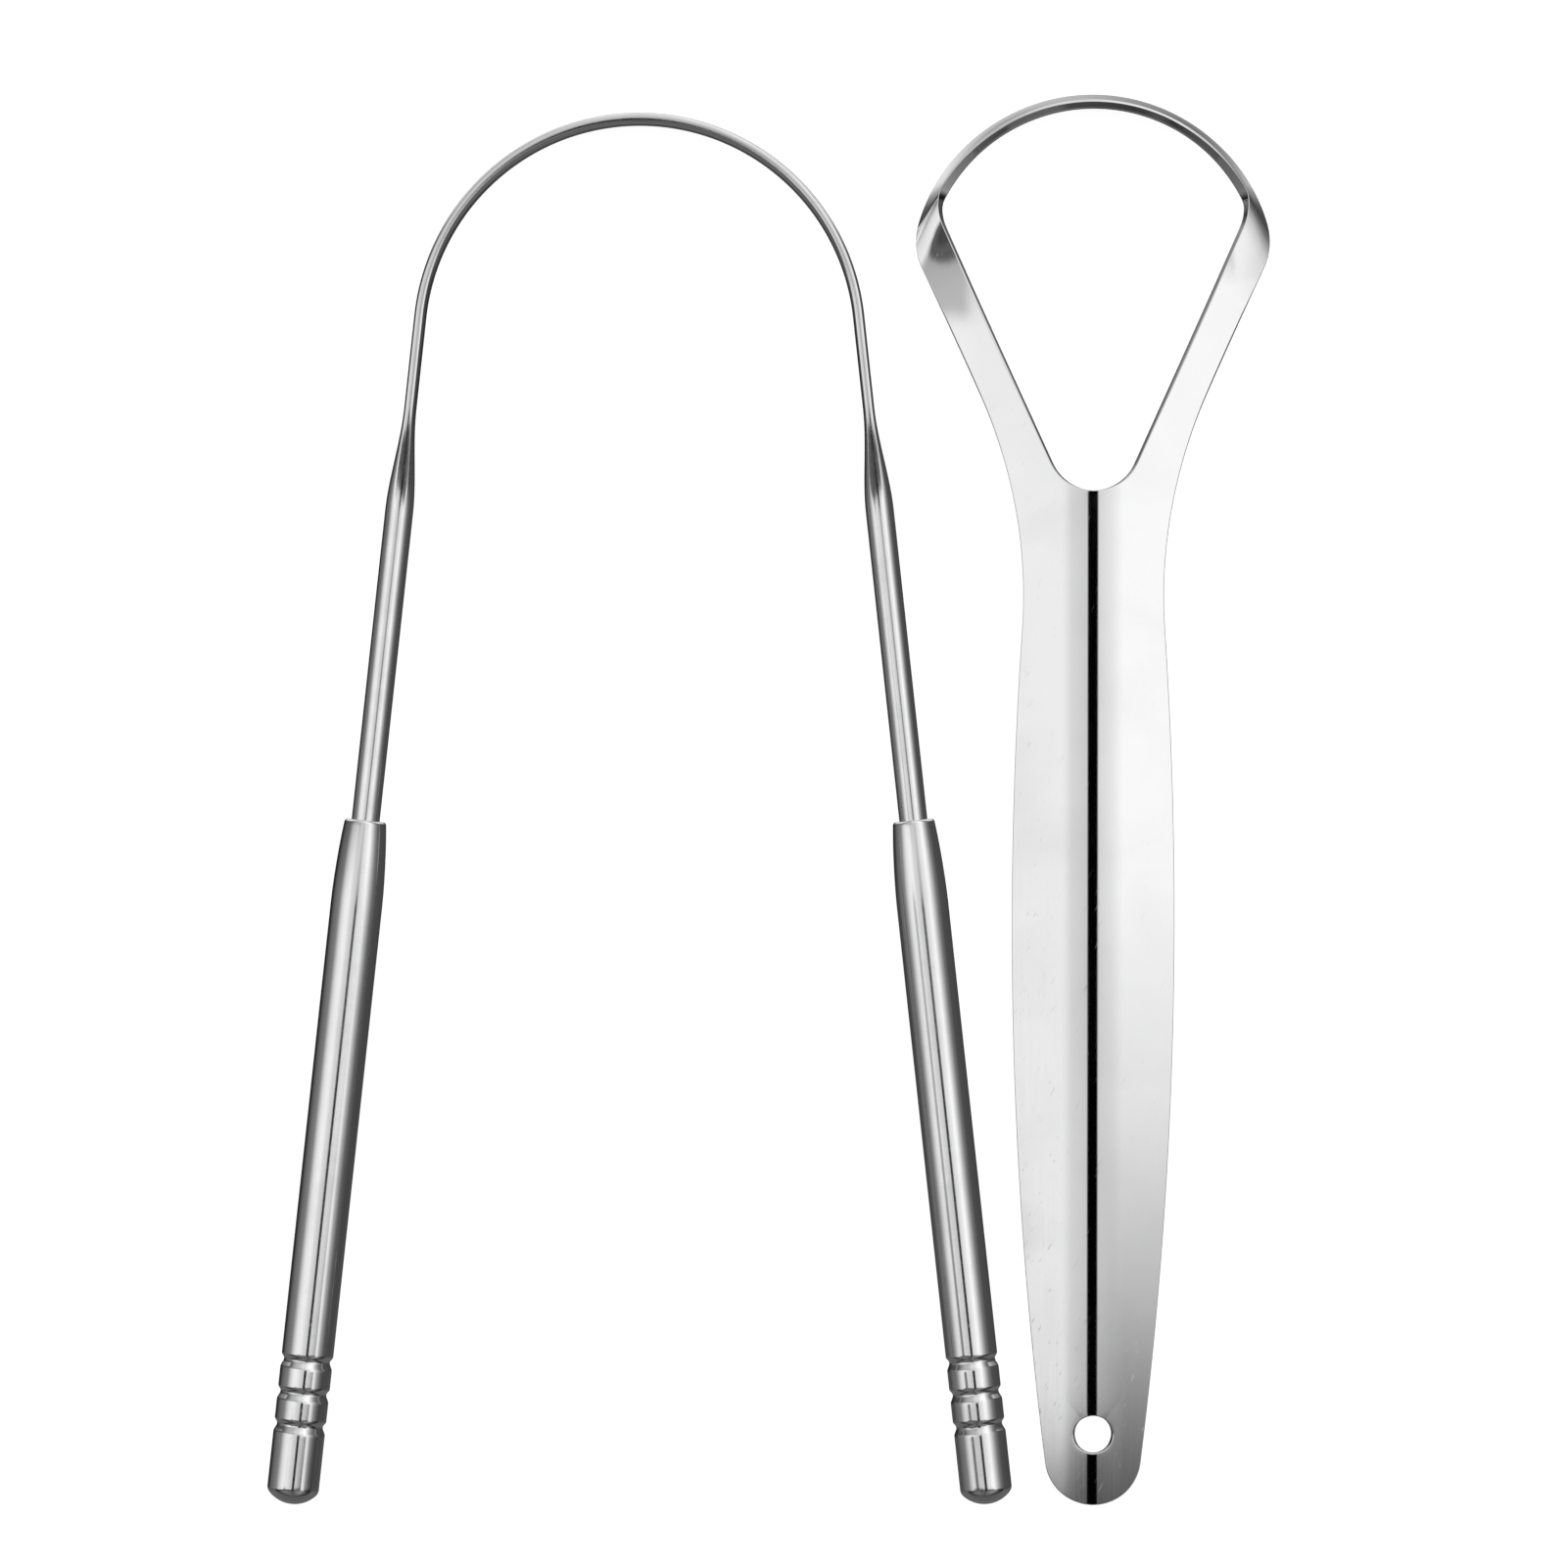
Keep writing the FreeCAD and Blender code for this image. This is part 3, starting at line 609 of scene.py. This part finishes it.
def loop_form(sizes):
    """Work out the lines of the loop scraper's right half. Its frame has the handle's tip at y = 0 and
    the lower edge of the loop at z = 0."""
    form = SimpleNamespace()
    lean, arm, slope = sizes.crown_lean, sizes.arm_angle, sizes.wing_slope
    form.outward = Vector((cos(arm), -sin(arm), 0))
    form.forward = Vector((sin(arm), cos(arm), 0))
    # The crown, along the strip's lower and top edges
    form.low_radius = sizes.crown_radius + sizes.strip_width / 2 * sin(lean)
    form.top_radius = sizes.crown_radius - sizes.strip_width / 2 * sin(lean)
    form.low_z = sizes.thickness / 2 * sin(lean)
    form.top_z = form.low_z + sizes.strip_width * cos(lean)
    form.centre = Vector((0, sizes.length - form.low_radius - sizes.thickness / 2 * cos(lean), 0))
    # The arm, from the fork and the shoulder at its root to its two corners
    half_arm = sizes.strip_width / 2 * cos(atan(cos(arm) * tan(slope)))
    outer = form.centre + Vector((sizes.arm_spread, 0, 0)) + form.outward * half_arm
    form.waist_x = sizes.waist_width / 2 + sizes.waist_radius
    form.waist_y = outer.y + ((form.waist_x - outer.x) * cos(arm) - sizes.waist_radius) / sin(arm)
    form.shoulder = Vector((form.waist_x, form.waist_y, 0)) - form.outward * sizes.waist_radius
    form.fork = form.shoulder - form.outward * 2 * half_arm
    middle_offset = sizes.arm_spread * cos(arm)
    root_along = (form.shoulder - form.centre).dot(form.forward)
    form.inner_run = sqrt(form.top_radius**2 - (middle_offset - half_arm) ** 2) - root_along
    form.outer_run = sqrt(form.low_radius**2 - (middle_offset + half_arm) ** 2) - root_along
    inner_end = form.fork + form.forward * form.inner_run - form.centre
    outer_end = form.shoulder + form.forward * form.outer_run - form.centre
    form.inner_turn = atan2(inner_end.x, inner_end.y)
    form.outer_turn = atan2(outer_end.x, outer_end.y)
    form.arm_run = (form.inner_run + form.outer_run) / 2
    form.crown_run = sizes.crown_radius * (form.inner_turn + form.outer_turn) / 2
    # The outline of the handle and the notch
    rise = sizes.belly_height - sizes.tip_radius
    swell = sizes.belly_width - 2 * sizes.tip_radius
    form.belly_arc = (sizes.belly_width**2 / 4 - sizes.tip_radius**2 + rise**2) / swell
    form.belly_x = sizes.belly_width / 2 - form.belly_arc
    form.tip_join = sizes.belly_height - rise * form.belly_arc / (form.belly_arc - sizes.tip_radius)
    waist_share = form.belly_arc / (form.belly_arc + sizes.waist_radius)
    form.waist_join = sizes.belly_height + (form.waist_y - sizes.belly_height) * waist_share
    form.notch_y = form.fork.y - (form.fork.x * cos(arm) - sizes.notch_radius) / sin(arm)
    form.notch_join = Vector((0, form.notch_y, 0)) + form.outward * sizes.notch_radius
    # Heights of the middle of the pressed sheet
    form.wing_fall = sin(arm) * tan(slope)
    form.fork_z = sizes.ridge_height - form.fork.x * tan(slope)
    form.shoulder_z = sizes.ridge_height - form.shoulder.x * tan(slope)
    form.crest_mid = sizes.crest_radius - sizes.thickness / 2
    form.crest_z = sizes.ridge_height - form.crest_mid / cos(slope)
    return form


def plate_height(sizes, form, x):
    """Height of the middle of the pressed sheet at a distance from its ridge."""
    if abs(x) < form.crest_mid * sin(sizes.wing_slope):
        return form.crest_z + sqrt(form.crest_mid**2 - x**2)
    return sizes.ridge_height - abs(x) * tan(sizes.wing_slope)


def press_plate(sizes, form, points):
    """Lift flat points onto the pressed sheet."""
    return [Vector((point.x, point.y, plate_height(sizes, form, point.x))) for point in points]


def half_width(sizes, form, y):
    """Half the width of the blank at a height up the handle."""
    if y < form.tip_join:
        return sqrt(max(sizes.tip_radius**2 - (y - sizes.tip_radius) ** 2, 0))
    if y < form.waist_join:
        return form.belly_x + sqrt(form.belly_arc**2 - (y - sizes.belly_height) ** 2)
    return form.waist_x - sqrt(sizes.waist_radius**2 - (y - form.waist_y) ** 2)


def straight_row(sizes, form, y):
    """Flat points straight across the right half of the handle."""
    columns = NOTCH_COLUMNS + ARM_COLUMNS
    half = half_width(sizes, form, y)
    return [Vector((half * column / columns, y, 0)) for column in range(columns + 1)]


def root_row(sizes, form, inner):
    """Flat points from one on the arm's inner edge, square to the arm, out to the waist's arc."""
    offset = inner - Vector((form.waist_x, form.waist_y, 0))
    along = offset.dot(form.outward)
    reach = -along - sqrt(along**2 - offset.length_squared + sizes.waist_radius**2)
    return [inner + form.outward * reach * column / ARM_COLUMNS for column in range(ARM_COLUMNS + 1)]


def fork_row(sizes, form):
    """Flat points round the bottom of the notch and out across the arm to the waist."""
    points = []
    for column in range(NOTCH_COLUMNS + 1):
        turn = (pi / 2 - sizes.arm_angle) * column / NOTCH_COLUMNS
        x, y = sizes.notch_radius * sin(turn), form.notch_y - sizes.notch_radius * cos(turn)
        points.append(Vector((x, y, 0)))
    return points + root_row(sizes, form, form.notch_join)[1:]


def make_handle_tip(bm, sizes, form, row):
    """Fill the handle's round end from its outline in to the hanging hole."""
    points = []
    for step in range(1, SIDE_STEPS + 1):
        y = TIP_TOP + (form.tip_join - TIP_TOP) * step / SIDE_STEPS
        points.append(Vector((half_width(sizes, form, y), y, 0)))
    start_turn = atan2(points[-1].y - sizes.tip_radius, points[-1].x)
    for step in range(1, TIP_STEPS + 1):
        turn = start_turn + (-pi / 2 - start_turn) * step / TIP_STEPS
        x, y = sizes.tip_radius * cos(turn), sizes.tip_radius + sizes.tip_radius * sin(turn)
        points.append(Vector((x, y, 0)))
    points[-1].x = 0
    chain = list(row)
    for point in press_plate(sizes, form, points):
        made = bmesh.ops.extrude_vert_indiv(bm, verts=[chain[-1]])["verts"][0]
        made.co = point
        chain.append(made)
    outline = [vert.co.copy() for vert in chain]
    hole = Vector((0, sizes.hole_inset, 0))
    for ring in range(1, HOLE_RINGS + 1):
        share = ring / HOLE_RINGS
        flat = []
        for point in outline:
            ray = Vector((point.x, point.y, 0)) - hole
            flat.append(hole + ray * (1 - share) + ray.normalized() * (sizes.hole_diameter / 2 * share))
        chain = extrude_row(bm, chain, press_plate(sizes, form, flat))


def make_handle_plate(bm, sizes, form, row):
    """Extrude the handle up to the fork."""
    steps = round((FORK_START - TIP_TOP) / ROW_LENGTH)
    for step in range(1, steps + 1):
        y = TIP_TOP + (FORK_START - TIP_TOP) * step / steps
        row = extrude_row(bm, row, press_plate(sizes, form, straight_row(sizes, form, y)))
    below, above = straight_row(sizes, form, FORK_START), fork_row(sizes, form)
    for step in range(1, FORK_STEPS + 1):
        flat = [low.lerp(high, step / FORK_STEPS) for low, high in zip(below, above)]
        drift = half_width(sizes, form, flat[-1].y) - flat[-1].x
        for column, point in enumerate(flat):
            point.x += drift * column / (len(flat) - 1)
        row = extrude_row(bm, row, press_plate(sizes, form, flat))


def strip_edges(sizes, form, travel):
    """Inner and outer edge of the strip at a distance along it from the arm's root. Both level out along
    the arm, and round the crown the inner edge rises and the outer one goes down."""
    share = min(travel / form.arm_run, 1)
    levelled = form.wing_fall * (share - share**3 / 3)
    inner_z = form.fork_z - levelled * form.inner_run
    outer_z = form.shoulder_z - levelled * form.outer_run - sizes.corner_drop * share**3
    if share < 1:
        inner = form.fork + form.forward * form.inner_run * share + UP * inner_z
        outer = form.shoulder + form.forward * form.outer_run * share + UP * outer_z
        return inner, outer
    share = (travel - form.arm_run) / form.crown_run
    inner_turn, outer_turn = form.inner_turn * (1 - share), form.outer_turn * (1 - share)
    inner = form.centre + Vector((sin(inner_turn), cos(inner_turn), 0)) * form.top_radius
    outer = form.centre + Vector((sin(outer_turn), cos(outer_turn), 0)) * form.low_radius
    risen = ease(share / TWIST_SHARE)
    inner.z = inner_z + (form.top_z - inner_z) * risen
    outer.z = outer_z + (form.low_z - outer_z) * risen
    return inner, outer


def strip_row(sizes, form, travel):
    """Points across the strip, with its corners rounded by averaging its edges over a short stretch."""
    inner, outer = Vector(), Vector()
    for sample in range(CORNER_SAMPLES):
        offset = sizes.corner_reach * (2 * sample / (CORNER_SAMPLES - 1) - 1)
        inner_point, outer_point = strip_edges(sizes, form, travel + offset)
        inner += inner_point / CORNER_SAMPLES
        outer += outer_point / CORNER_SAMPLES
    return [inner.lerp(outer, column / ARM_COLUMNS) for column in range(ARM_COLUMNS + 1)]


def make_arm_and_crown(bm, sizes, form, side):
    """Extrude the right (1) or left (-1) arm from the notch, round its corner and over half the crown."""
    rows = []
    for step in range(ROOT_STEPS + 1):
        inner = form.notch_join.lerp(form.fork, step / ROOT_STEPS)
        rows.append(press_plate(sizes, form, root_row(sizes, form, inner)))
    for step in range(1, STRIP_STEPS + 1):
        rows.append(strip_row(sizes, form, (form.arm_run + form.crown_run) * step / STRIP_STEPS))
    for point in rows[-1]:
        point.x = 0
    for points in rows:
        for point in points:
            point.x *= side
    row = [min(bm.verts, key=lambda vert: (vert.co - point).length) for point in rows[0]]
    for points in rows[1:]:
        row = extrude_row(bm, row, points)


def weigh_rim(bm, form):
    """Give the sheet's free edges their share of the rounding: all of it on the strip, less on the handle
    and near the corners where the strip folds."""
    weight = bm.edges.layers.float.new("bevel_weight_edge")
    corners = (form.fork + form.forward * form.inner_run, form.shoulder + form.forward * form.outer_run)
    for edge in bm.edges:
        if edge.is_boundary:
            middle = (edge.verts[0].co + edge.verts[1].co) / 2
            spot = Vector((abs(middle.x), middle.y, 0))
            distance = min((spot - corner).length for corner in corners)
            strip = ease((middle.y - form.notch_y) / (form.fork.y - form.notch_y))
            strip *= ease((distance - CORNER_ZONE) / CORNER_ZONE)
            edge[weight] = REDUCED_ROUND + (1 - REDUCED_ROUND) * strip
            edge[weight] *= REDUCED_ROUND + (1 - REDUCED_ROUND) * ease(distance / CORNER_ZONE)


def loop_place(sizes, form):
    """Matrix that lays the loop scraper down as its hanging hole lies in the model."""
    hole = MOUNTS["hang_hole"]
    axis = Vector(hole["axis"])
    pitch = Matrix.Rotation(atan2(-axis.y, axis.z), 4, "X")
    spot = Vector((0, sizes.hole_inset, form.crest_z + form.crest_mid))
    return Matrix.Translation(Vector(hole["pos_m"]) - pitch @ spot) @ pitch


def make_loop(sizes, look):
    """Half the handle, mirrored, with both arms, thickened and softened along its edges."""
    bm = bmesh.new()
    form = loop_form(sizes)
    first = straight_row(sizes, form, TIP_TOP)
    row = start_row(bm, first[0], first[-1], len(first) - 1)
    for vert, point in zip(row, press_plate(sizes, form, first)):
        vert.co = point
    make_handle_tip(bm, sizes, form, row)
    make_handle_plate(bm, sizes, form, row)
    everything = bm.verts[:] + bm.edges[:] + bm.faces[:]
    bmesh.ops.mirror(bm, geom=everything, axis="X", merge_dist=MERGE_DISTANCE)
    for side in (1, -1):
        make_arm_and_crown(bm, sizes, form, side)
    bmesh.ops.remove_doubles(bm, verts=bm.verts, dist=MERGE_DISTANCE)
    bmesh.ops.recalc_face_normals(bm, faces=bm.faces)
    keep_grain(bm, lambda point: point)
    weigh_rim(bm, form)
    bmesh.ops.transform(bm, matrix=loop_place(sizes, form), verts=bm.verts)
    steel = make_steel(
        "polished_sheet_steel", look, look.sheet_roughness,
        line_spacing=(0.00012, 0.01, 0.00012), patch_size=0.011, line_bump=0.006,
    )
    piece = finish_piece(bm, "stamped_loop", "loop_scraper", "loop_scraper", steel)
    # Kept out of the mirror images in the handle beside it
    piece.visible_glossy = False
    wall = piece.modifiers.new("sheet_thickness", "SOLIDIFY")
    wall.thickness = sizes.thickness
    wall.offset = 0
    wall.use_even_offset = True
    edges = piece.modifiers.new("softened_edges", "BEVEL")
    edges.width = sizes.edge_round
    edges.segments = 4
    edges.use_clamp_overlap = False
    edges.limit_method = "WEIGHT"
    edges.harden_normals = True


# Studio

# Stops hold an angle in degrees and a brightness or share. Angles across the tools run from straight up
# towards +X, and those lengthwise from straight up towards +Y.
# Brightness of the light tent across, and share of it lengthwise
ACROSS_STOPS = (
    (-180, 0.01), (-132, 0.03), (-122, 0.1), (-80, 0.24), (-57, 0.84), (-43, 0.98), (-32, 1.0),
    (-21, 0.77), (-6, 0.68), (6, 0.76), (21, 0.91), (32, 1.08), (37, 1.08), (57, 0.46), (71, 0.19),
    (90, 0.08), (150, 0.06), (180, 0.02),
)
ALONG_STOPS = ((-90, 1.0), (-12, 1.0), (20, 1.0), (45, 1.2), (90, 1.0))
# Where the left and right panels end towards -Y
LEFT_END_STOPS = (
    (-90, 0.12), (-30, 0.2), (-18, 0.12), (-9.2, 0.06), (-8.5, 0.16), (-8.25, 0.34), (-8.0, 0.94),
    (-4.6, 1.0),
)
RIGHT_END_STOPS = (
    (-90, 0.15), (-24, 0.3), (-14, 0.12), (-9.2, 0.05), (-8.2, 0.09), (-7.9, 0.19), (-7.15, 0.46),
    (-6.5, 0.61), (-5.8, 0.79), (-4.1, 1.0),
)
# Where the right panel reaches further towards -Y, across and lengthwise
FAR_RIGHT_STOPS = ((35.2, 0), (37.2, 0.95), (50, 0.95), (58, 0))
NEAR_END_STOPS = ((-15, 0), (-11.5, 1), (90, 1))
# Where the left panel fades towards -Y, across and lengthwise
FAR_LEFT_STOPS = ((-44, 0), (-40, 1), (-31.4, 1), (-30.6, 0))
LEFT_FADE_STOPS = (
    (-12, 0.0), (-9, 0.0), (-8.4, 0.5), (-8.0, 0.9), (-7.2, 0.88), (-6.4, 0.52), (-2.7, 0.45),
    (-1.8, 0.0),
)
# Darkness of the gap between the panels, across and lengthwise
GAP_ACROSS_STOPS = ((-5.2, 0), (-3.8, 1), (5.4, 1), (6.8, 0))
GAP_ALONG_STOPS = (
    (-40, 0.3), (-16, 0.6), (-9.5, 1), (-0.6, 1), (0.3, 0.6), (1.2, 0.35), (8, 0.2), (22, 0.1),
)
# Brightness of the floor in front of the tools and beyond them, lengthwise
FLOOR_STOPS = (
    (-90, 0.1), (-30, 0.14), (-12, 0.12), (-4, 0.05), (6, 0.0), (16, 0.12), (20.6, 0.35), (25, 0.85),
    (90, 0.95),
)
# Range of x squared over which a panel's outer side starts, and how much of a lengthwise angle counts there
OUTER_RANGE = (0.33, 0.72)
OUTER_SHARE = 0.6
# Range of x over which the left panel's end turns into the right one's
SIDE_RANGE = (-0.07, 0.56)
# Ranges of x and y over which the corner at the back on the left dims, and the share of light left there
LEFT_RANGE = (-0.1, -0.4)
BACK_RANGE = (0.1, 0.35)
CORNER_SHARE = 0.45
# Range of z over which the floor comes in
FLOOR_RANGE = (0.1, -0.1)
# Half the floor's width, and how far it lies below the tools
FLOOR_REACH = 2.0
FLOOR_GAP = 0.00002
# Width of the camera's sensor in millimetres, and how far it sees in metres
SENSOR_WIDTH = 36
CAMERA_REACH = 20


def add_ramp(tree, source, stops):
    """A ramp over a range of directions, from stops of angle and brightness."""
    low, high = stops[0][0], stops[-1][0]
    share = map_range(tree, source, radians(low), radians(high))
    ramp = add_node(tree, "ShaderNodeValToRGB", {"Fac": share})
    band = ramp.color_ramp
    while len(band.elements) < len(stops):
        band.elements.new(1.0)
    for element, (turn, brightness) in zip(band.elements, stops):
        element.position = (turn - low) / (high - low)
        element.color = (brightness, brightness, brightness, 1)
    return ramp.outputs["Color"]


def light_tent(look):
    """Two soft panels overhead with a dark gap between them, in every direction but the camera's own."""
    world = bpy.data.worlds.new("light_tent")
    world.use_nodes = True
    tree = world.node_tree
    tree.nodes.clear()
    coordinates = add_node(tree, "ShaderNodeTexCoord")
    direction = add_node(tree, "ShaderNodeSeparateXYZ", {0: coordinates.outputs["Generated"]}).outputs
    across = calculate(tree, "ARCTAN2", direction["X"], direction["Z"])
    outwards = calculate(tree, "MULTIPLY", direction["X"], direction["X"])
    bowed = map_range(tree, outwards, *OUTER_RANGE, 1.0, OUTER_SHARE)
    along = calculate(tree, "ARCSINE", calculate(tree, "MULTIPLY", direction["Y"], bowed))

    def patch(across_stops, along_stops):
        """A ramp across the tools times a ramp lengthwise."""
        return calculate(
            tree, "MULTIPLY", add_ramp(tree, across, across_stops), add_ramp(tree, along, along_stops)
        )

    left_end, right_end = (add_ramp(tree, along, stops) for stops in (LEFT_END_STOPS, RIGHT_END_STOPS))
    ends = mix_colours(tree, map_range(tree, direction["X"], *SIDE_RANGE), left_end, right_end)
    left = map_range(tree, direction["X"], *LEFT_RANGE)
    back = map_range(tree, direction["Y"], *BACK_RANGE)
    shares = (
        calculate(tree, "SUBTRACT", 1.0, patch(GAP_ACROSS_STOPS, GAP_ALONG_STOPS)),
        calculate(tree, "MAXIMUM", ends, patch(FAR_RIGHT_STOPS, NEAR_END_STOPS)),
        calculate(tree, "SUBTRACT", 1.0, patch(FAR_LEFT_STOPS, LEFT_FADE_STOPS)),
        map_range(tree, calculate(tree, "MULTIPLY", left, back), 0.0, 1.0, 1.0, CORNER_SHARE),
    )
    light = patch(ACROSS_STOPS, ALONG_STOPS)
    for share in shares:
        light = calculate(tree, "MULTIPLY", light, share)
    below = map_range(tree, direction["Z"], *FLOOR_RANGE)
    floor = calculate(tree, "MULTIPLY", add_ramp(tree, along, FLOOR_STOPS), below)
    light = calculate(tree, "MAXIMUM", light, floor)
    tent = add_node(tree, "ShaderNodeBackground", {"Color": light, "Strength": look.panels})
    plain = add_node(tree, "ShaderNodeBackground", {"Color": (1, 1, 1, 1), "Strength": look.backdrop})
    ray = add_node(tree, "ShaderNodeLightPath")
    seen = add_node(
        tree, "ShaderNodeMixShader",
        {0: ray.outputs["Is Camera Ray"], 1: tent.outputs[0], 2: plain.outputs[0]},
    )
    add_node(tree, "ShaderNodeOutputWorld", {"Surface": seen.outputs[0]})
    bpy.context.scene.world = world


def make_floor(look):
    """A plain pale floor under the tools, kept out of their reflections."""
    bm = bmesh.new()
    bmesh.ops.create_grid(bm, x_segments=1, y_segments=1, size=FLOOR_REACH)
    bmesh.ops.translate(bm, vec=(0, 0, CAD_BOX[0][2] - FLOOR_GAP), verts=bm.verts)
    mesh = bpy.data.meshes.new("floor")
    bm.to_mesh(mesh)
    bm.free()
    floor = bpy.data.objects.new("floor", mesh)
    bpy.context.scene.collection.objects.link(floor)
    material = bpy.data.materials.new("pale_floor")
    material.use_nodes = True
    shader = material.node_tree.nodes["Principled BSDF"].inputs
    settings = {
        "Base Color": (*look.floor, 1),
        "Roughness": 0.9,
        "Specular IOR Level": 0.1,
        "Emission Color": (1, 1, 1, 1),
        "Emission Strength": look.floor_glow,
    }
    for socket, setting in settings.items():
        shader[socket].default_value = setting
    mesh.materials.append(material)
    floor.visible_glossy = False


def aim_camera(look):
    """A camera straight above the tools with a long lens."""
    camera = bpy.data.objects.new("camera", bpy.data.cameras.new("camera"))
    camera.location = (look.view_x, look.view_y, look.camera_height)
    level = u_frame()[1]
    camera.data.sensor_width = SENSOR_WIDTH
    camera.data.lens = SENSOR_WIDTH * (look.camera_height - level) / look.view_width
    camera.data.clip_end = CAMERA_REACH
    bpy.context.scene.collection.objects.link(camera)
    bpy.context.scene.camera = camera
    bpy.context.scene.view_settings.view_transform = "Standard"


# Operators and panel


class SCRAPER_OT_bow(bpy.types.Operator):
    """Roll the bow of the U-shaped scraper"""

    bl_idname = "scraper_set.bow"
    bl_label = "Rolled Bow"

    def execute(self, context):
        make_bow(context.scene.bow_sizes, context.scene.steel_look)
        return {"FINISHED"}


class SCRAPER_OT_tubes(bpy.types.Operator):
    """Turn the two handle tubes"""

    bl_idname = "scraper_set.tubes"
    bl_label = "Handle Tubes"

    def execute(self, context):
        scene = context.scene
        look = scene.steel_look
        steel = make_steel(
            "drawn_tube_steel", look, look.tube_roughness,
            line_spacing=(0.004, 0.00012, 0.004), patch_size=0.006, line_bump=0.03,
        )
        for name, side in (("left", -1), ("right", 1)):
            make_tube(
                f"{name}_grip_tube", f"{name}_handle_tube", scene.handle_sizes, scene.bow_sizes, side, steel
            )
        return {"FINISHED"}


class SCRAPER_OT_plugs(bpy.types.Operator):
    """Turn the two domed end plugs"""

    bl_idname = "scraper_set.plugs"
    bl_label = "End Plugs"

    def execute(self, context):
        scene = context.scene
        look = scene.steel_look
        steel = make_steel(
            "turned_plug_steel", look, look.tube_roughness,
            line_spacing=(0.003, 0.0001, 0.003), patch_size=0.005, line_bump=0.03,
        )
        for name, side in (("left", -1), ("right", 1)):
            make_plug(
                f"{name}_domed_plug", f"{name}_end_plug", scene.handle_sizes, scene.bow_sizes, side, steel
            )
        return {"FINISHED"}


class SCRAPER_OT_loop(bpy.types.Operator):
    """Press the scraper with the loop head"""

    bl_idname = "scraper_set.loop"
    bl_label = "Loop Scraper"

    def execute(self, context):
        make_loop(context.scene.loop_sizes, context.scene.steel_look)
        return {"FINISHED"}


class SCRAPER_OT_stage(bpy.types.Operator):
    """Set up the floor, the light and the camera"""

    bl_idname = "scraper_set.stage"
    bl_label = "Studio"

    def execute(self, context):
        look = context.scene.studio_look
        make_floor(look)
        light_tent(look)
        aim_camera(look)
        return {"FINISHED"}


class SCRAPER_PT_set(bpy.types.Panel):
    """Sizes and steps of the scraper set"""

    bl_label = "Tongue Scraper Set"
    bl_space_type = "VIEW_3D"
    bl_region_type = "UI"
    bl_category = "Scrapers"

    def draw(self, context):
        steps = (
            ("bow_sizes", (SCRAPER_OT_bow,)),
            ("handle_sizes", (SCRAPER_OT_tubes, SCRAPER_OT_plugs)),
            ("loop_sizes", (SCRAPER_OT_loop,)),
            ("steel_look", ()),
            ("studio_look", (SCRAPER_OT_stage,)),
        )
        for group_name, operators in steps:
            group = getattr(context.scene, group_name)
            box = self.layout.box()
            for key in group.bl_rna.properties.keys():
                if key not in ("rna_type", "name"):
                    box.prop(group, key)
            for operator in operators:
                box.operator(operator.bl_idname)


GROUPS = {
    "bow_sizes": BowSizes,
    "handle_sizes": HandleSizes,
    "loop_sizes": LoopSizes,
    "steel_look": SteelLook,
    "studio_look": StudioLook,
}
CLASSES = (
    *GROUPS.values(),
    SCRAPER_OT_bow,
    SCRAPER_OT_tubes,
    SCRAPER_OT_plugs,
    SCRAPER_OT_loop,
    SCRAPER_OT_stage,
    SCRAPER_PT_set,
)


def register():
    for cls in CLASSES:
        bpy.utils.register_class(cls)
    for name, group in GROUPS.items():
        setattr(bpy.types.Scene, name, PointerProperty(type=group))


def unregister():
    for name in GROUPS:
        delattr(bpy.types.Scene, name)
    for cls in reversed(CLASSES):
        bpy.utils.unregister_class(cls)


def main():
    register()
    bpy.ops.scraper_set.bow()
    bpy.ops.scraper_set.tubes()
    bpy.ops.scraper_set.plugs()
    bpy.ops.scraper_set.loop()
    bpy.ops.scraper_set.stage()


if __name__ == "__main__":
    main()
